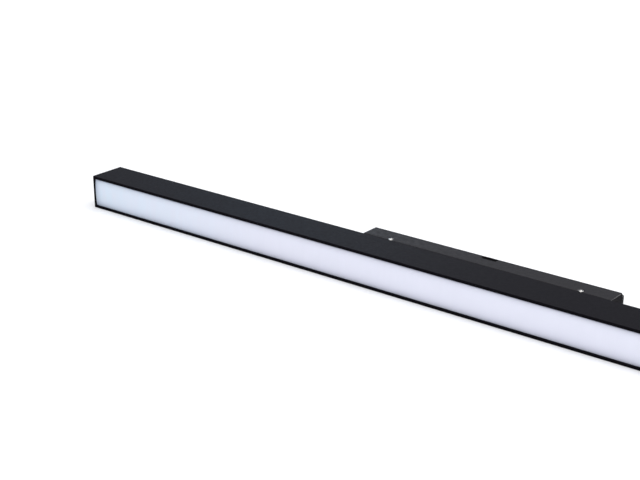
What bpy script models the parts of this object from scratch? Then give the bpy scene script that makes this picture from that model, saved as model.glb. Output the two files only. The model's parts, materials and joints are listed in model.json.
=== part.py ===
"""Linear LED luminaire: a black bar with an opal front and a driver box that locks into three-circuit track.

The bar lies along X. Its opal face looks towards -Y, the track is on the +Y side, and Z is the bar's width.
The underside is at Z = 0. All lengths are in metres.
"""

import math

import bmesh
import bpy
from mathutils import Matrix, Vector

# Driving dimensions
LENGTH = 0.912
WIDTH = 0.035
BAR_DEPTH = 0.0405
BOX_LENGTH = 0.258
BOX_DEPTH = 0.0202
HEAD_DEPTH = 0.017
HEAD_WIDTH = 0.0174
GAP = 0.0003
WALL = 0.0018

# Levels along Y, from the opal face to the top of the track heads
FRONT = -(BAR_DEPTH + BOX_DEPTH + HEAD_DEPTH) / 2
CROWN = 0.0007
RIM_FRONT = FRONT + GAP
BAR_BACK = FRONT + BAR_DEPTH
SHOULDER = BAR_BACK + BOX_DEPTH
HEAD_TOP = SHOULDER + HEAD_DEPTH
MID = WIDTH / 2
HALF = WIDTH / 2

# Bar
RIM = 0.0029
RIM_DEPTH = 0.0016
WEB_FRONT = RIM_FRONT + 0.0172
WEB_BACK = WEB_FRONT + WALL
CHAMBER_BACK = BAR_BACK - WALL
CATCH = 0.0078
PORT_BLOCK = 0.0055
PORT_OFFSET = 0.0130
PORT_LEVEL = WEB_BACK + 0.0028
PORT_RADIUS = 0.00165
CAP = 0.0035
BAR_END = LENGTH / 2 - CAP - GAP

# Light source
BOARD_WIDTH = 0.012
BOARD_THICKNESS = 0.0015
BOARD_LENGTH = 0.298
BOARD_PITCH = 0.3015
BOARD_BACK = WEB_FRONT - GAP
CHIPS = 24
CHIP = (0.0035, 0.0008, 0.0028)

# Driver box
HOUSING_LOW = BAR_BACK + GAP
SHOULDER_PLATE = 0.0020
PLATE_INNER = SHOULDER - SHOULDER_PLATE
HOUSING_SCREW_X = 0.099
HOUSING_SCREW_Y = BAR_BACK + 0.0032
TRAY_SHEET = 0.0012
TRAY_TOP = HOUSING_LOW + TRAY_SHEET
TRAY_HALF_LENGTH = 0.124
TRAY_HALF_WIDTH = HALF - WALL - 0.0004
EAR_TOP = TRAY_TOP + 0.0055
TRAY_SCREW_X = (0.084, 0.116)
GROMMET_X = 0.100
CIRCUIT_LOW = TRAY_TOP + 0.0013
CIRCUIT_TOP = CIRCUIT_LOW + 0.0016
CIRCUIT_HALF = (0.072, 0.0135)
SEAT = CIRCUIT_TOP + GAP

# Lead hole in the web
WEB_HOLE = (0.146, 0.0082)
LEAD_RADIUS = 0.0008

# Locks
LOCK_X = 0.104
LOCK_HEAD_HALF = 0.019
WING = (0.026, 0.0096, 0.0030)
WING_LOW = SHOULDER + 0.0038
SHAFT_RADIUS = 0.0028
SHAFT_END = SHOULDER - 0.0073
LEVER_REACH = 0.0205
LEVER_WIDTH = 0.006
LEVER_LOW = SHOULDER - 0.0054
LEVER_SHEET = 0.0024
LEVER_WINDOW = (0.0182, LEVER_LOW - 0.0006, LEVER_LOW + 0.0030)

# Selector and contacts
WHEEL_RADIUS = 0.0164
WHEEL_SHEET = 0.00215
WHEEL_LOW = PLATE_INNER - GAP - WHEEL_SHEET
WHEEL_TEETH = 54
NOTCH_HALF = 0.0075
NOTCH_LIP = 0.0008
NOTCH_CLEAR = 0.0016
STUB_RADIUS = 0.0040
STUB_END = WHEEL_LOW - 0.0045
TURRET_RADIUS = 0.0055
CONTACT_HEAD_HALF = 0.026
BLADE = (0.0026, 0.0114, 0.0050, 0.0014)
BLADE_LEVELS = (SHOULDER + 0.0080, SHOULDER + 0.0126)
RING = (0.0043, 0.0052, 0.0012)
RING_LEVELS = (WHEEL_LOW - 0.0039, WHEEL_LOW - 0.0019)
EARTH_X = -0.019

ROUND_STEPS = 24
SMALL_STEPS = 12
X, Y, Z = Vector((1, 0, 0)), Vector((0, 1, 0)), Vector((0, 0, 1))
AXES = {"X": (Y, Z, X), "Y": (X, Z, Y), "Z": (X, Y, Z)}


# ---------------------------------------------------------------- scene and materials

def clear_scene():
    for obj in list(bpy.data.objects):
        bpy.data.objects.remove(obj, do_unlink=True)


def new_collection(name):
    made = bpy.data.collections.new(name)
    bpy.context.scene.collection.children.link(made)
    return made


def new_material(name, colour, roughness, metallic=0.0):
    made = bpy.data.materials.new(name)
    made.use_nodes = True
    shader = made.node_tree.nodes["Principled BSDF"]
    shader.inputs["Base Color"].default_value = (*colour, 1.0)
    shader.inputs["Roughness"].default_value = roughness
    shader.inputs["Metallic"].default_value = metallic
    return made


clear_scene()
PARTS = new_collection("track_linear_luminaire")
CUTTERS = new_collection("cutters")


# Finish name to base colour, roughness and metallic value
FINISHES = {
    "black_coating": ((0.025, 0.026, 0.029), 0.5, 0.0),
    "black_plastic": ((0.035, 0.035, 0.037), 0.45, 0.0),
    "opal": ((0.86, 0.88, 0.92), 0.4, 0.0),
    "steel": ((0.62, 0.62, 0.63), 0.3, 1.0),
    "nickel": ((0.78, 0.76, 0.72), 0.2, 1.0),
    "copper_alloy": ((0.80, 0.58, 0.28), 0.3, 1.0),
    "board_white": ((0.80, 0.80, 0.78), 0.5, 0.0),
    "board_green": ((0.03, 0.20, 0.09), 0.4, 0.0),
    "white_plastic": ((0.80, 0.79, 0.75), 0.5, 0.0),
    "film": ((0.86, 0.84, 0.74), 0.35, 0.0),
    "ferrite": ((0.06, 0.06, 0.065), 0.6, 0.0),
    "winding_tape": ((0.75, 0.52, 0.06), 0.4, 0.0),
    "capacitor_sleeve": ((0.02, 0.03, 0.07), 0.3, 0.0),
    "film_capacitor_box": ((0.80, 0.62, 0.10), 0.35, 0.0),
    "terminal_green": ((0.05, 0.30, 0.12), 0.4, 0.0),
    "lead_red": ((0.55, 0.03, 0.02), 0.45, 0.0),
    "lead_black": ((0.02, 0.02, 0.02), 0.45, 0.0),
    "lead_earth": ((0.25, 0.45, 0.05), 0.45, 0.0),
    "grommet_rubber": ((0.03, 0.03, 0.03), 0.8, 0.0),
}


# ---------------------------------------------------------------- building blocks

def add(name, mesh, finish=None, at=(0.0, 0.0, 0.0)):
    """A part with its own material, or, with no finish, a cutter."""
    obj = bpy.data.objects.new(name, mesh)
    obj.location = at
    if finish is None:
        obj.hide_render = True
        obj.display_type = "WIRE"
        CUTTERS.objects.link(obj)
    else:
        PARTS.objects.link(obj)
        colour, roughness, metallic = FINISHES[finish]
        obj.data.materials.clear()
        obj.data.materials.append(new_material(name, colour, roughness, metallic))
    return obj


def boxes_mesh(name, boxes):
    """One mesh of separate boxes, each given by its low and high corners."""
    shape = bmesh.new()
    for low, high in boxes:
        low, high = Vector(low), Vector(high)
        place = Matrix.Translation((low + high) / 2) @ Matrix.Diagonal((*(high - low), 1.0))
        bmesh.ops.create_cube(shape, size=1.0, matrix=place)
    mesh = bpy.data.meshes.new(name)
    shape.to_mesh(mesh)
    shape.free()
    return mesh


def rods_mesh(name, axis, spots, radius, low, high, steps=SMALL_STEPS):
    """One mesh of separate cylinders along an axis, each centred on a spot in the other two coordinates."""
    first, second, along = AXES[axis]
    shape = bmesh.new()
    for a, b in spots:
        middle = first * a + second * b + along * (low + high) / 2
        place = Matrix.Translation(middle) @ Z.rotation_difference(along).to_matrix().to_4x4()
        bmesh.ops.create_cone(shape, cap_ends=True, segments=steps, radius1=radius, radius2=radius,
                              depth=high - low, matrix=place)
    mesh = bpy.data.meshes.new(name)
    shape.to_mesh(mesh)
    shape.free()
    return mesh


def baked_mesh(obj):
    """The object's evaluated mesh, with the object and its data left out of the scene."""
    bpy.context.view_layer.update()
    evaluated = obj.evaluated_get(bpy.context.evaluated_depsgraph_get())
    mesh = bpy.data.meshes.new_from_object(evaluated)
    bpy.data.objects.remove(obj, do_unlink=True)
    return mesh


def outline_mesh(name, axis, loops, low, high):
    """A flat outline, with any holes as further loops, extruded along an axis."""
    curve = bpy.data.curves.new(name, "CURVE")
    curve.dimensions = "2D"
    curve.fill_mode = "BOTH"
    curve.extrude = (high - low) / 2
    for loop in loops:
        spline = curve.splines.new("POLY")
        spline.points.add(len(loop) - 1)
        spline.use_cyclic_u = True
        for point, (a, b) in zip(spline.points, loop):
            point.co = (a, b, 0.0, 1.0)
    guide = bpy.data.objects.new(name, curve)
    CUTTERS.objects.link(guide)
    mesh = baked_mesh(guide)
    first, second, along = AXES[axis]
    place = Matrix((first, second, along)).transposed().to_4x4()
    shape = bmesh.new()
    shape.from_mesh(mesh)
    bmesh.ops.remove_doubles(shape, verts=shape.verts, dist=1e-6)
    place = Matrix.Translation(along * (low + high) / 2) @ place
    bmesh.ops.transform(shape, matrix=place, verts=shape.verts)
    bmesh.ops.recalc_face_normals(shape, faces=shape.faces)
    shape.to_mesh(mesh)
    shape.free()
    return mesh


def turned(name, profile, finish, at, axis=Z, steps=ROUND_STEPS, ring=False):
    """A profile of (radius, height) points, top to bottom down its outer side, turned about an axis."""
    mesh = bpy.data.meshes.new(name)
    count = len(profile)
    edges = [(i, (i + 1) % count) for i in range(count if ring else count - 1)]
    mesh.from_pydata([(radius, 0.0, height) for radius, height in profile], edges, [])
    obj = add(name, mesh, finish, at)
    obj.rotation_euler = Z.rotation_difference(Vector(axis)).to_euler()
    screw = obj.modifiers.new("turn", "SCREW")
    screw.steps = screw.render_steps = steps
    screw.use_merge_vertices = True
    screw.merge_threshold = 1e-5
    screw.use_smooth_shade = True
    return obj


def circle(radius, centre=(0.0, 0.0), steps=SMALL_STEPS):
    angles = [2 * math.pi * i / steps for i in range(steps)]
    return [(centre[0] + radius * math.cos(a), centre[1] + radius * math.sin(a)) for a in angles]


def arc(centre, radius, start, end, steps):
    """Points on an arc, with its angles in degrees."""
    angles = [math.radians(start + (end - start) * i / steps) for i in range(steps + 1)]
    return [(centre[0] + radius * math.cos(a), centre[1] + radius * math.sin(a)) for a in angles]


def rounded(low, high, radius, steps=3):
    """A rectangle with round corners."""
    (x0, y0), (x1, y1) = low, high
    corners = ((x1, y1, 0), (x0, y1, 90), (x0, y0, 180), (x1, y0, 270))
    points = []
    for x, y, start in corners:
        centre = (x - math.copysign(radius, x - (x0 + x1) / 2), y - math.copysign(radius, y - (y0 + y1) / 2))
        points += arc(centre, radius, start, start + 90, steps)
    return points


def mirrored(half):
    """A closed outline in Y and Z from its (y, distance from the middle plane) points on one side."""
    return [(y, MID + h) for y, h in half] + [(y, MID - h) for y, h in reversed(half)]


def ribbon(points, thickness):
    """The outline of a bent strip that follows the points."""
    sides = ([], [])
    for i, point in enumerate(points):
        before = Vector(points[max(i - 1, 0)])
        after = Vector(points[min(i + 1, len(points) - 1)])
        along = (after - before).normalized()
        across = Vector((-along.y, along.x)) * thickness / 2
        sides[0].append(tuple(Vector(point) + across))
        sides[1].append(tuple(Vector(point) - across))
    return sides[0] + sides[1][::-1]


def smooth_route(points, spacing):
    """Points at an even spacing along a smooth curve through the route's own points."""
    route = [Vector(p) for p in points]
    route = [route[0] * 2 - route[1], *route, route[-1] * 2 - route[-2]]
    fine = []
    for p0, p1, p2, p3 in zip(route, route[1:], route[2:], route[3:]):
        for i in range(20):
            t = i / 20
            fine.append(((p1 * 2) + (p2 - p0) * t + (p0 * 2 - p1 * 5 + p2 * 4 - p3) * t * t
                         + (p1 * 3 - p0 - p2 * 3 + p3) * t * t * t) / 2)
    fine.append(route[-2])
    total = sum((b - a).length for a, b in zip(fine, fine[1:]))
    step = total / max(2, round(total / spacing))
    picked, walked = [fine[0]], 0.0
    for a, b in zip(fine, fine[1:]):
        walked += (b - a).length
        if walked >= step * len(picked) - 1e-9:
            picked.append(b)
    if (picked[-1] - fine[-1]).length > 1e-6:
        picked[-1] = fine[-1]
    return picked


def wire(name, points, radius, finish):
    curve = bpy.data.curves.new(name, "CURVE")
    curve.dimensions = "3D"
    curve.bevel_depth = radius
    curve.bevel_resolution = 1
    curve.use_fill_caps = True
    spline = curve.splines.new("POLY")
    route = smooth_route(points, radius * 3)
    spline.points.add(len(route) - 1)
    for point, place in zip(spline.points, route):
        point.co = (*place, 1.0)
    return add(name, curve, finish)


def combine(obj, other, operation):
    step = obj.modifiers.new(other.name, "BOOLEAN")
    step.operation = operation
    step.object = other
    step.solver = "EXACT"


def cut(obj, name, mesh, at=(0.0, 0.0, 0.0)):
    combine(obj, add(name, mesh, None, at), "DIFFERENCE")


def join(obj, name, mesh, at=(0.0, 0.0, 0.0)):
    combine(obj, add(name, mesh, None, at), "UNION")


def sunk_hole(obj, name, mouth, radius, depth, at, out):
    """A countersunk hole whose mouth is at a point and looks along out."""
    over = 0.0003
    profile = [(0, over), (mouth, over), (radius, over - (mouth - radius)), (radius, -depth), (0, -depth)]
    combine(obj, turned(name, profile, None, at, out, SMALL_STEPS), "DIFFERENCE")


def soften(obj, width, segments=2):
    edge = obj.modifiers.new("edges", "BEVEL")
    edge.width = width
    edge.segments = segments
    edge.limit_method = "ANGLE"
    edge.angle_limit = math.radians(50)


def cross_mesh(name, reach, blade, depth):
    """The cross recess of a screw, sunk from the top of its head."""
    arm = [(reach, -blade * 0.8), (reach, blade * 0.8), (blade, blade)]
    loop = []
    for turn in range(4):
        loop += [tuple(Matrix.Rotation(turn * math.pi / 2, 2) @ Vector(point)) for point in arm]
    return outline_mesh(name, "Z", [loop], -depth, depth)


def screw_mesh(name, profile, recess):
    """A screw along -Z with the top of its head at the origin."""
    blank = turned(name, profile, "steel", (0, 0, 0), steps=SMALL_STEPS)
    cut(blank, name + "_recess", cross_mesh(name + "_recess", *recess))
    return baked_mesh(blank)


def place_screw(name, mesh, at, out, finish):
    """A copy of a screw, its head looking along out."""
    obj = add(name, mesh.copy(), finish, at)
    obj.rotation_euler = Z.rotation_difference(Vector(out)).to_euler()
    return obj


# ---------------------------------------------------------------- the bar

def bar_profile():
    """The extrusion: a front trough for the light source and a closed chamber behind it."""
    inner = HALF - WALL
    outline = mirrored([
        *arc((BAR_BACK - 0.0006, HALF - 0.0006), 0.0006, 0, 90, 3),
        *arc((RIM_FRONT + 0.0004, HALF - 0.0004), 0.0004, 90, 180, 2),
        (RIM_FRONT, HALF - RIM),
        (RIM_FRONT + RIM_DEPTH, HALF - RIM),
        (RIM_FRONT + RIM_DEPTH + 0.0004, inner),
        (RIM_FRONT + CATCH - 0.0006, inner),
        (RIM_FRONT + CATCH, inner - 0.0006),
        (RIM_FRONT + CATCH + 0.0008, inner - 0.0006),
        (RIM_FRONT + CATCH + 0.0014, inner),
        (WEB_FRONT, inner),
    ])
    chamber = mirrored([
        (CHAMBER_BACK, inner + 0.0001),
        (WEB_BACK + PORT_BLOCK, inner + 0.0001),
        (WEB_BACK + PORT_BLOCK, inner - PORT_BLOCK),
        (WEB_BACK, inner - PORT_BLOCK),
    ])
    ports = [circle(PORT_RADIUS, (PORT_LEVEL, MID + side * PORT_OFFSET)) for side in (-1, 1)]
    mesh = outline_mesh("bar_profile", "X", [outline, chamber, *ports], -BAR_END, BAR_END)
    bar = add("bar_profile", mesh, "black_coating")
    screws = [(side * x, MID) for side in (-1, 1) for x in TRAY_SCREW_X]
    back = (CHAMBER_BACK - 0.002, BAR_BACK + 0.002)
    cut(bar, "tray_screw_holes", rods_mesh("tray_screw_holes", "Y", screws, 0.0016, *back))
    cut(bar, "grommet_hole", rods_mesh("grommet_hole", "Y", [(GROMMET_X, MID)], 0.0042, *back, ROUND_STEPS))
    x, z = WEB_HOLE[0], MID + WEB_HOLE[1]
    slot = [((x - 0.0034, WEB_FRONT - 0.001, z - 0.0014), (x + 0.0034, WEB_BACK + 0.001, z + 0.0014))]
    cut(bar, "web_lead_slot", boxes_mesh("web_lead_slot", slot))


def opal_diffuser():
    """The crowned opal front, with two legs that snap behind the ribs inside the bar."""
    edge = HALF - RIM - GAP
    face, leg = 0.0016, 0.0012
    hook = HALF - WALL - 0.0004
    steps = 6

    def crown(h, offset):
        return FRONT + offset + CROWN * ((h / edge - 1 / steps) / (1 - 1 / steps)) ** 2

    front = [(crown(edge * i / steps, 0.0), edge * i / steps) for i in range(steps, 0, -1)]
    inside = [(crown(edge * i / steps, face), (edge - leg) * i / steps) for i in range(1, steps + 1)]
    tip = RIM_FRONT + 0.0110
    catch = RIM_FRONT + CATCH + 0.0018
    half = [
        *front[::-1],
        (catch - 0.0002, edge),
        (catch, hook),
        (catch + 0.0006, hook),
        (tip, edge - 0.0002),
        (tip, edge - leg),
        *inside[::-1],
    ]
    mesh = outline_mesh("opal_diffuser", "X", [mirrored(half)], -BAR_END, BAR_END)
    add("opal_diffuser", mesh, "opal")


def end_cap(name, side):
    """The cap's plate, and the plug that centres it in the chamber."""
    outline = rounded((RIM_FRONT, 0.0), (BAR_BACK, WIDTH), 0.0006)
    ends = sorted((side * LENGTH / 2, side * (LENGTH / 2 - CAP)))
    cap = add(name, outline_mesh(name, "X", [outline], *ends), "black_plastic")
    reach = HALF - WALL - 0.0004
    front, back = WEB_BACK + PORT_BLOCK + 0.0004, CHAMBER_BACK - 0.0004
    near, far = sorted((side * (LENGTH / 2 - CAP / 2), side * (LENGTH / 2 - CAP - 0.004)))
    join(cap, name + "_plug", boxes_mesh(name, [((near, front, MID - reach), (far, back, MID + reach))]))
    for s, row in ((-1, "lower"), (1, "upper")):
        at = (side * LENGTH / 2, PORT_LEVEL, MID + s * PORT_OFFSET)
        sunk_hole(cap, f"{name}_hole_{row}", 0.0033, 0.0018, 0.004, at, (side, 0, 0))


def end_caps():
    head = [(0, 0), (0.0027, 0), (0.0013, -0.0014), (0.0013, -0.0093), (0.0008, -0.0100), (0, -0.0100)]
    mesh = screw_mesh("cap_screw", head, (0.0013, 0.00035, 0.0009))
    for side, end in ((-1, "left"), (1, "right")):
        end_cap(f"end_cap_{end}", side)
        for s, row in ((-1, "lower"), (1, "upper")):
            at = (side * (LENGTH / 2 - 0.0001), PORT_LEVEL, MID + s * PORT_OFFSET)
            place_screw(f"end_cap_screw_{end}_{row}", mesh, at, (side, 0, 0), "steel")


# ---------------------------------------------------------------- the light source

def led_board(name, middle):
    """A strip of board with its light-emitting chips in one row."""
    half, thick = BOARD_LENGTH / 2, BOARD_THICKNESS
    low = (middle - half, BOARD_BACK - thick, MID - BOARD_WIDTH / 2)
    high = (middle + half, BOARD_BACK, MID + BOARD_WIDTH / 2)
    board = add(name, boxes_mesh(name, [(low, high)]), "board_white")
    pitch = BOARD_LENGTH / CHIPS
    chips = []
    for i in range(CHIPS):
        x = middle - half + pitch * (i + 0.5)
        face = BOARD_BACK - thick
        chips.append(((x - CHIP[0] / 2, face - CHIP[1], MID - CHIP[2] / 2),
                      (x + CHIP[0] / 2, face + thick / 2, MID + CHIP[2] / 2)))
    join(board, name + "_chips", boxes_mesh(name + "_chips", chips))


def board_link(name, x):
    """The bridge that carries the current from one board to the next."""
    top = BOARD_BACK - BOARD_THICKNESS - GAP
    size = (0.0055, 0.0022, 0.0040)
    low = (x - size[0], top - size[1], MID - size[2])
    high = (x + size[0], top, MID + size[2])
    link = add(name, boxes_mesh(name, [(low, high)]), "white_plastic")
    soften(link, 0.0004, 1)


def light_source():
    for place, end in ((-1, "left"), (0, "centre"), (1, "right")):
        led_board(f"led_board_{end}", place * BOARD_PITCH)
    for place, end in ((-1, "left"), (1, "right")):
        board_link(f"board_link_{end}", place * BOARD_PITCH / 2)


# ---------------------------------------------------------------- the driver box

def driver_housing():
    """The moulded box on the bar's back: four walls and the shoulder that meets the track."""
    half = BOX_LENGTH / 2
    outer = [((-half, HOUSING_LOW, 0.0), (half, SHOULDER, WIDTH))]
    housing = add("driver_housing", boxes_mesh("driver_housing", outer), "black_plastic")
    soften(housing, 0.0005)
    inner = half - WALL
    hollow = [((-inner, HOUSING_LOW - 0.002, WALL), (inner, PLATE_INNER, WIDTH - WALL))]
    cut(housing, "housing_hollow", boxes_mesh("housing_hollow", hollow))
    window, low, high = LEVER_WINDOW
    deep = WALL + 0.001
    windows = [((s * LOCK_X - window, low, -0.001), (s * LOCK_X + window, high, deep)) for s in (-1, 1)]
    cut(housing, "lever_windows", boxes_mesh("lever_windows", windows))
    notches = []
    for z0, z1 in ((-0.001, WALL + 0.0004), (WIDTH - WALL - 0.0004, WIDTH + 0.001)):
        notches.append(((-NOTCH_HALF, WHEEL_LOW - NOTCH_CLEAR, z0), (NOTCH_HALF, SHOULDER - NOTCH_LIP, z1)))
    cut(housing, "wheel_notches", boxes_mesh("wheel_notches", notches))
    plate = (PLATE_INNER - 0.001, SHOULDER + 0.001)
    locks = [(s * LOCK_X, MID) for s in (-1, 1)]
    cut(housing, "shaft_holes", rods_mesh("shaft_holes", "Y", locks, 0.0032, *plate, ROUND_STEPS))
    turret = rods_mesh("turret_hole", "Y", [(0, MID)], TURRET_RADIUS + 0.0004, *plate, ROUND_STEPS)
    cut(housing, "turret_hole", turret)
    slots = []
    for x, reach in head_legs():
        slots.append(((x - reach, plate[0], MID - 0.0034), (x + reach, plate[1], MID + 0.0034)))
    for s in (-1, 1):
        z = MID + s * (HEAD_WIDTH / 2 + 0.0006)
        slots.append(((EARTH_X - 0.0024, plate[0], z - 0.0008), (EARTH_X + 0.0024, plate[1], z + 0.0008)))
    cut(housing, "head_slots", boxes_mesh("head_slots", slots))
    for s, end in ((-1, "left"), (1, "right")):
        for z, out, row in ((0.0, -Z, "lower"), (WIDTH, Z, "upper")):
            at = (s * HOUSING_SCREW_X, HOUSING_SCREW_Y, z)
            sunk_hole(housing, f"side_hole_{end}_{row}", 0.0029, 0.0016, 0.003, at, out)


def head_legs():
    """Where the snap legs of the three track heads pass the shoulder, with half of each slot's length."""
    legs = []
    for middle, half in ((-LOCK_X, LOCK_HEAD_HALF), (0.0, CONTACT_HEAD_HALF), (LOCK_X, LOCK_HEAD_HALF)):
        legs += [(middle + s * (half - 0.0022), 0.0014) for s in (-1, 1)]
    return legs


def housing_screws():
    profile = [(0, 0), (0.0023, 0), (0.0011, -0.0012), (0.0011, -0.0046), (0.0007, -0.0052), (0, -0.0052)]
    mesh = screw_mesh("housing_screw", profile, (0.0011, 0.0003, 0.0008))
    for s, end in ((-1, "left"), (1, "right")):
        for z, out, row in ((0.0001, -Z, "lower"), (WIDTH - 0.0001, Z, "upper")):
            at = (s * HOUSING_SCREW_X, HOUSING_SCREW_Y, z)
            place_screw(f"housing_screw_{end}_{row}", mesh, at, out, "nickel")


def gear_tray():
    """The steel tray that carries the driver, with ears for the housing screws and a tab for the earth."""
    low, high = MID - TRAY_HALF_WIDTH, MID + TRAY_HALF_WIDTH
    plate = [((-TRAY_HALF_LENGTH, HOUSING_LOW, low), (TRAY_HALF_LENGTH, TRAY_TOP, high))]
    tray = add("gear_tray", boxes_mesh("gear_tray", plate), "steel")
    ears = []
    for s in (-1, 1):
        for z0 in (low, high - TRAY_SHEET):
            x = s * HOUSING_SCREW_X
            ears.append(((x - 0.006, HOUSING_LOW + 0.0004, z0), (x + 0.006, EAR_TOP, z0 + TRAY_SHEET)))
    tab = ((-0.0790, TRAY_TOP - 0.0006, MID + 0.0096), (-0.0740, TRAY_TOP + 0.0042, MID + 0.0104))
    join(tray, "tray_ears", boxes_mesh("tray_ears", [*ears, tab]))
    screws = [(s * x, MID) for s in (-1, 1) for x in TRAY_SCREW_X]
    reach = (HOUSING_LOW - 0.001, TRAY_TOP + 0.001)
    cut(tray, "tray_holes", rods_mesh("tray_holes", "Y", screws, 0.0018, *reach))
    cut(tray, "tray_grommet_hole", rods_mesh("tray_grommet_hole", "Y", [(GROMMET_X, MID)], 0.0042, *reach))
    spots = [(s * HOUSING_SCREW_X, HOUSING_SCREW_Y) for s in (-1, 1)]
    cut(tray, "ear_holes", rods_mesh("ear_holes", "Z", spots, 0.0014, low - 0.001, high + 0.001))


def tray_screws():
    head = [(0, 0), (0.0022, 0), (0.0027, -0.0006), (0.0027, -0.0017), (0.0013, -0.0017),
            (0.0013, -0.0070), (0.0008, -0.0076), (0, -0.0076)]
    mesh = screw_mesh("tray_screw", head, (0.0014, 0.00035, 0.0009))
    for s, end in ((-1, "left"), (1, "right")):
        for x, row in zip(TRAY_SCREW_X, ("inner", "outer")):
            at = (s * x, TRAY_TOP + GAP + 0.0017, MID)
            place_screw(f"tray_screw_{end}_{row}", mesh, at, Y, "steel")


def lead_grommet():
    """A rubber ring whose groove holds the edges of the bar's back and the tray."""
    top, seat = TRAY_TOP + GAP, CHAMBER_BACK - GAP
    profile = [(0.0026, top + 0.0013), (0.0050, top + 0.0013), (0.0056, top), (0.0039, top), (0.0039, seat),
               (0.0054, seat), (0.0048, seat - 0.0013), (0.0026, seat - 0.0013)]
    turned("lead_grommet", profile, "grommet_rubber", (GROMMET_X, 0, MID), Y, SMALL_STEPS, ring=True)


def led_leads():
    """The pair from the driver's terminal, through the bar's back and its web, to the middle board."""
    over = MID + WEB_HOLE[1]
    pad = BOARD_BACK - BOARD_THICKNESS - LEAD_RADIUS - GAP
    for s, name in ((-1, "negative"), (1, "positive")):
        z = MID + s * 0.0012
        y = WEB_BACK + 0.0085 + s * 0.0011
        x = WEB_HOLE[0] + s * 0.0014
        route = [
            (0.0712, SEAT + 0.0035, MID + s * 0.0025),
            (0.0780, SEAT + 0.0040, MID + s * 0.0022),
            (0.0900, SEAT + 0.0042, z),
            (GROMMET_X - 0.0012, SEAT + 0.0018, z),
            (GROMMET_X, TRAY_TOP, z),
            (GROMMET_X, CHAMBER_BACK - 0.004, z),
            (GROMMET_X + 0.004, y + 0.004, z),
            (GROMMET_X + 0.014, y, z),
            (x - 0.014, y, over + s * 0.0012),
            (x - 0.003, y - 0.0016, over + s * 0.0006),
            (x, WEB_BACK + 0.0036, over),
            (x, WEB_BACK, over),
            (x, WEB_FRONT - 0.0008, over),
            (x, pad - 0.0006, over - 0.0012),
            (x, pad, over - 0.0038),
        ]
        wire(f"led_lead_{name}", route, LEAD_RADIUS, "lead_red" if s > 0 else "lead_black")


# ---------------------------------------------------------------- the driver

def insulation_sheet():
    low = (-CIRCUIT_HALF[0] - 0.0015, TRAY_TOP + GAP, MID - CIRCUIT_HALF[1] - 0.0005)
    high = (CIRCUIT_HALF[0] + 0.0015, TRAY_TOP + GAP + 0.0004, MID + CIRCUIT_HALF[1] + 0.0005)
    sheet = add("insulation_sheet", boxes_mesh("insulation_sheet", [(low, high)]), "film")
    clear = [((-0.0800, low[1] - 0.001, MID + 0.0090), (-0.0730, high[1] + 0.001, MID + 0.0110))]
    cut(sheet, "sheet_slot", boxes_mesh("sheet_slot", clear))


def circuit_board():
    low = (-CIRCUIT_HALF[0], CIRCUIT_LOW, MID - CIRCUIT_HALF[1])
    high = (CIRCUIT_HALF[0], CIRCUIT_TOP, MID + CIRCUIT_HALF[1])
    add("driver_board", boxes_mesh("driver_board", [(low, high)]), "board_green")


def component(name, low, high, finish, edge=0.0004):
    """A block that stands on the board; its low and high corners are given from the board's middle."""
    low = (low[0], SEAT + low[1], MID + low[2])
    high = (high[0], SEAT + high[1], MID + high[2])
    block = add(name, boxes_mesh(name, [(low, high)]), finish)
    soften(block, edge, 1)
    return block


def lying_capacitor(name, x, z, radius, length):
    """A can with a rolled edge near its leads and a vent dish at its other end."""
    half = length / 2
    dish = half - 0.0003
    profile = [(0, dish), (radius * 0.7, dish), (radius * 0.8, half), (radius - 0.0003, half),
               (radius, half - 0.0004), (radius, 0.0022 - half), (radius - 0.0004, 0.0017 - half),
               (radius, 0.0012 - half), (radius - 0.0003, -half), (0, -half)]
    turned(name, profile, "capacitor_sleeve", (x, SEAT + radius, MID + z), X, 16)


def transformer():
    """A two-leg core round a taped coil, with its middle leg through the coil."""
    size = ((0.0265, 0.0, -0.0070), (0.0405, 0.0094, 0.0070))
    coil = component("transformer_coil", *size, "winding_tape", 0.0010)
    bore = [((0.020, SEAT + 0.0026, MID - 0.0028), (0.050, SEAT + 0.0068, MID + 0.0028))]
    cut(coil, "coil_bore", boxes_mesh("coil_bore", bore))
    low, high = SEAT + 0.0029, SEAT + 0.0065
    outer = rounded((0.0228, MID - 0.0100), (0.0442, MID + 0.0100), 0.0005, 1)
    window = rounded((0.0262, MID - 0.0073), (0.0408, MID + 0.0073), 0.0003, 1)
    mesh = outline_mesh("transformer_core", "Y", [outer, window], low, high)
    core = add("transformer_core", mesh, "ferrite")
    leg = [((0.0240, low, MID - 0.0025), (0.0430, high, MID + 0.0025))]
    join(core, "core_leg", boxes_mesh("core_leg", leg))


def filter_choke():
    """A drum core with its wire sunk between two flanges."""
    profile = [(0, 0.0088), (0.0048, 0.0088), (0.0048, 0.0074), (0.0041, 0.0070), (0.0041, 0.0018),
               (0.0048, 0.0014), (0.0048, 0.0), (0, 0.0)]
    turned("filter_choke", profile, "ferrite", (-0.0300, SEAT, MID - 0.0045), Y, 16)


def driver():
    insulation_sheet()
    circuit_board()
    component("film_capacitor", (-0.0640, 0.0, -0.0110), (-0.0510, 0.0095, -0.0045), "film_capacitor_box")
    lying_capacitor("input_capacitor", -0.0530, 0.0065, 0.0045, 0.0200)
    filter_choke()
    component("rectifier", (-0.0330, 0.0, 0.0050), (-0.0250, 0.0026, 0.0110), "ferrite", 0.0003)
    transformer()
    lying_capacitor("output_capacitor", 0.0545, -0.0075, 0.0040, 0.0130)
    size = ((0.0600, 0.0, -0.0010), (0.0700, 0.0070, 0.0090))
    terminal = component("output_terminal", *size, "terminal_green")
    mouths = []
    for z in (MID + 0.0003, MID + 0.0049):
        mouths.append(((0.0690, SEAT + 0.0022, z), (0.0720, SEAT + 0.0050, z + 0.0028)))
    cut(terminal, "terminal_mouths", boxes_mesh("terminal_mouths", mouths))


# ---------------------------------------------------------------- the track heads

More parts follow.
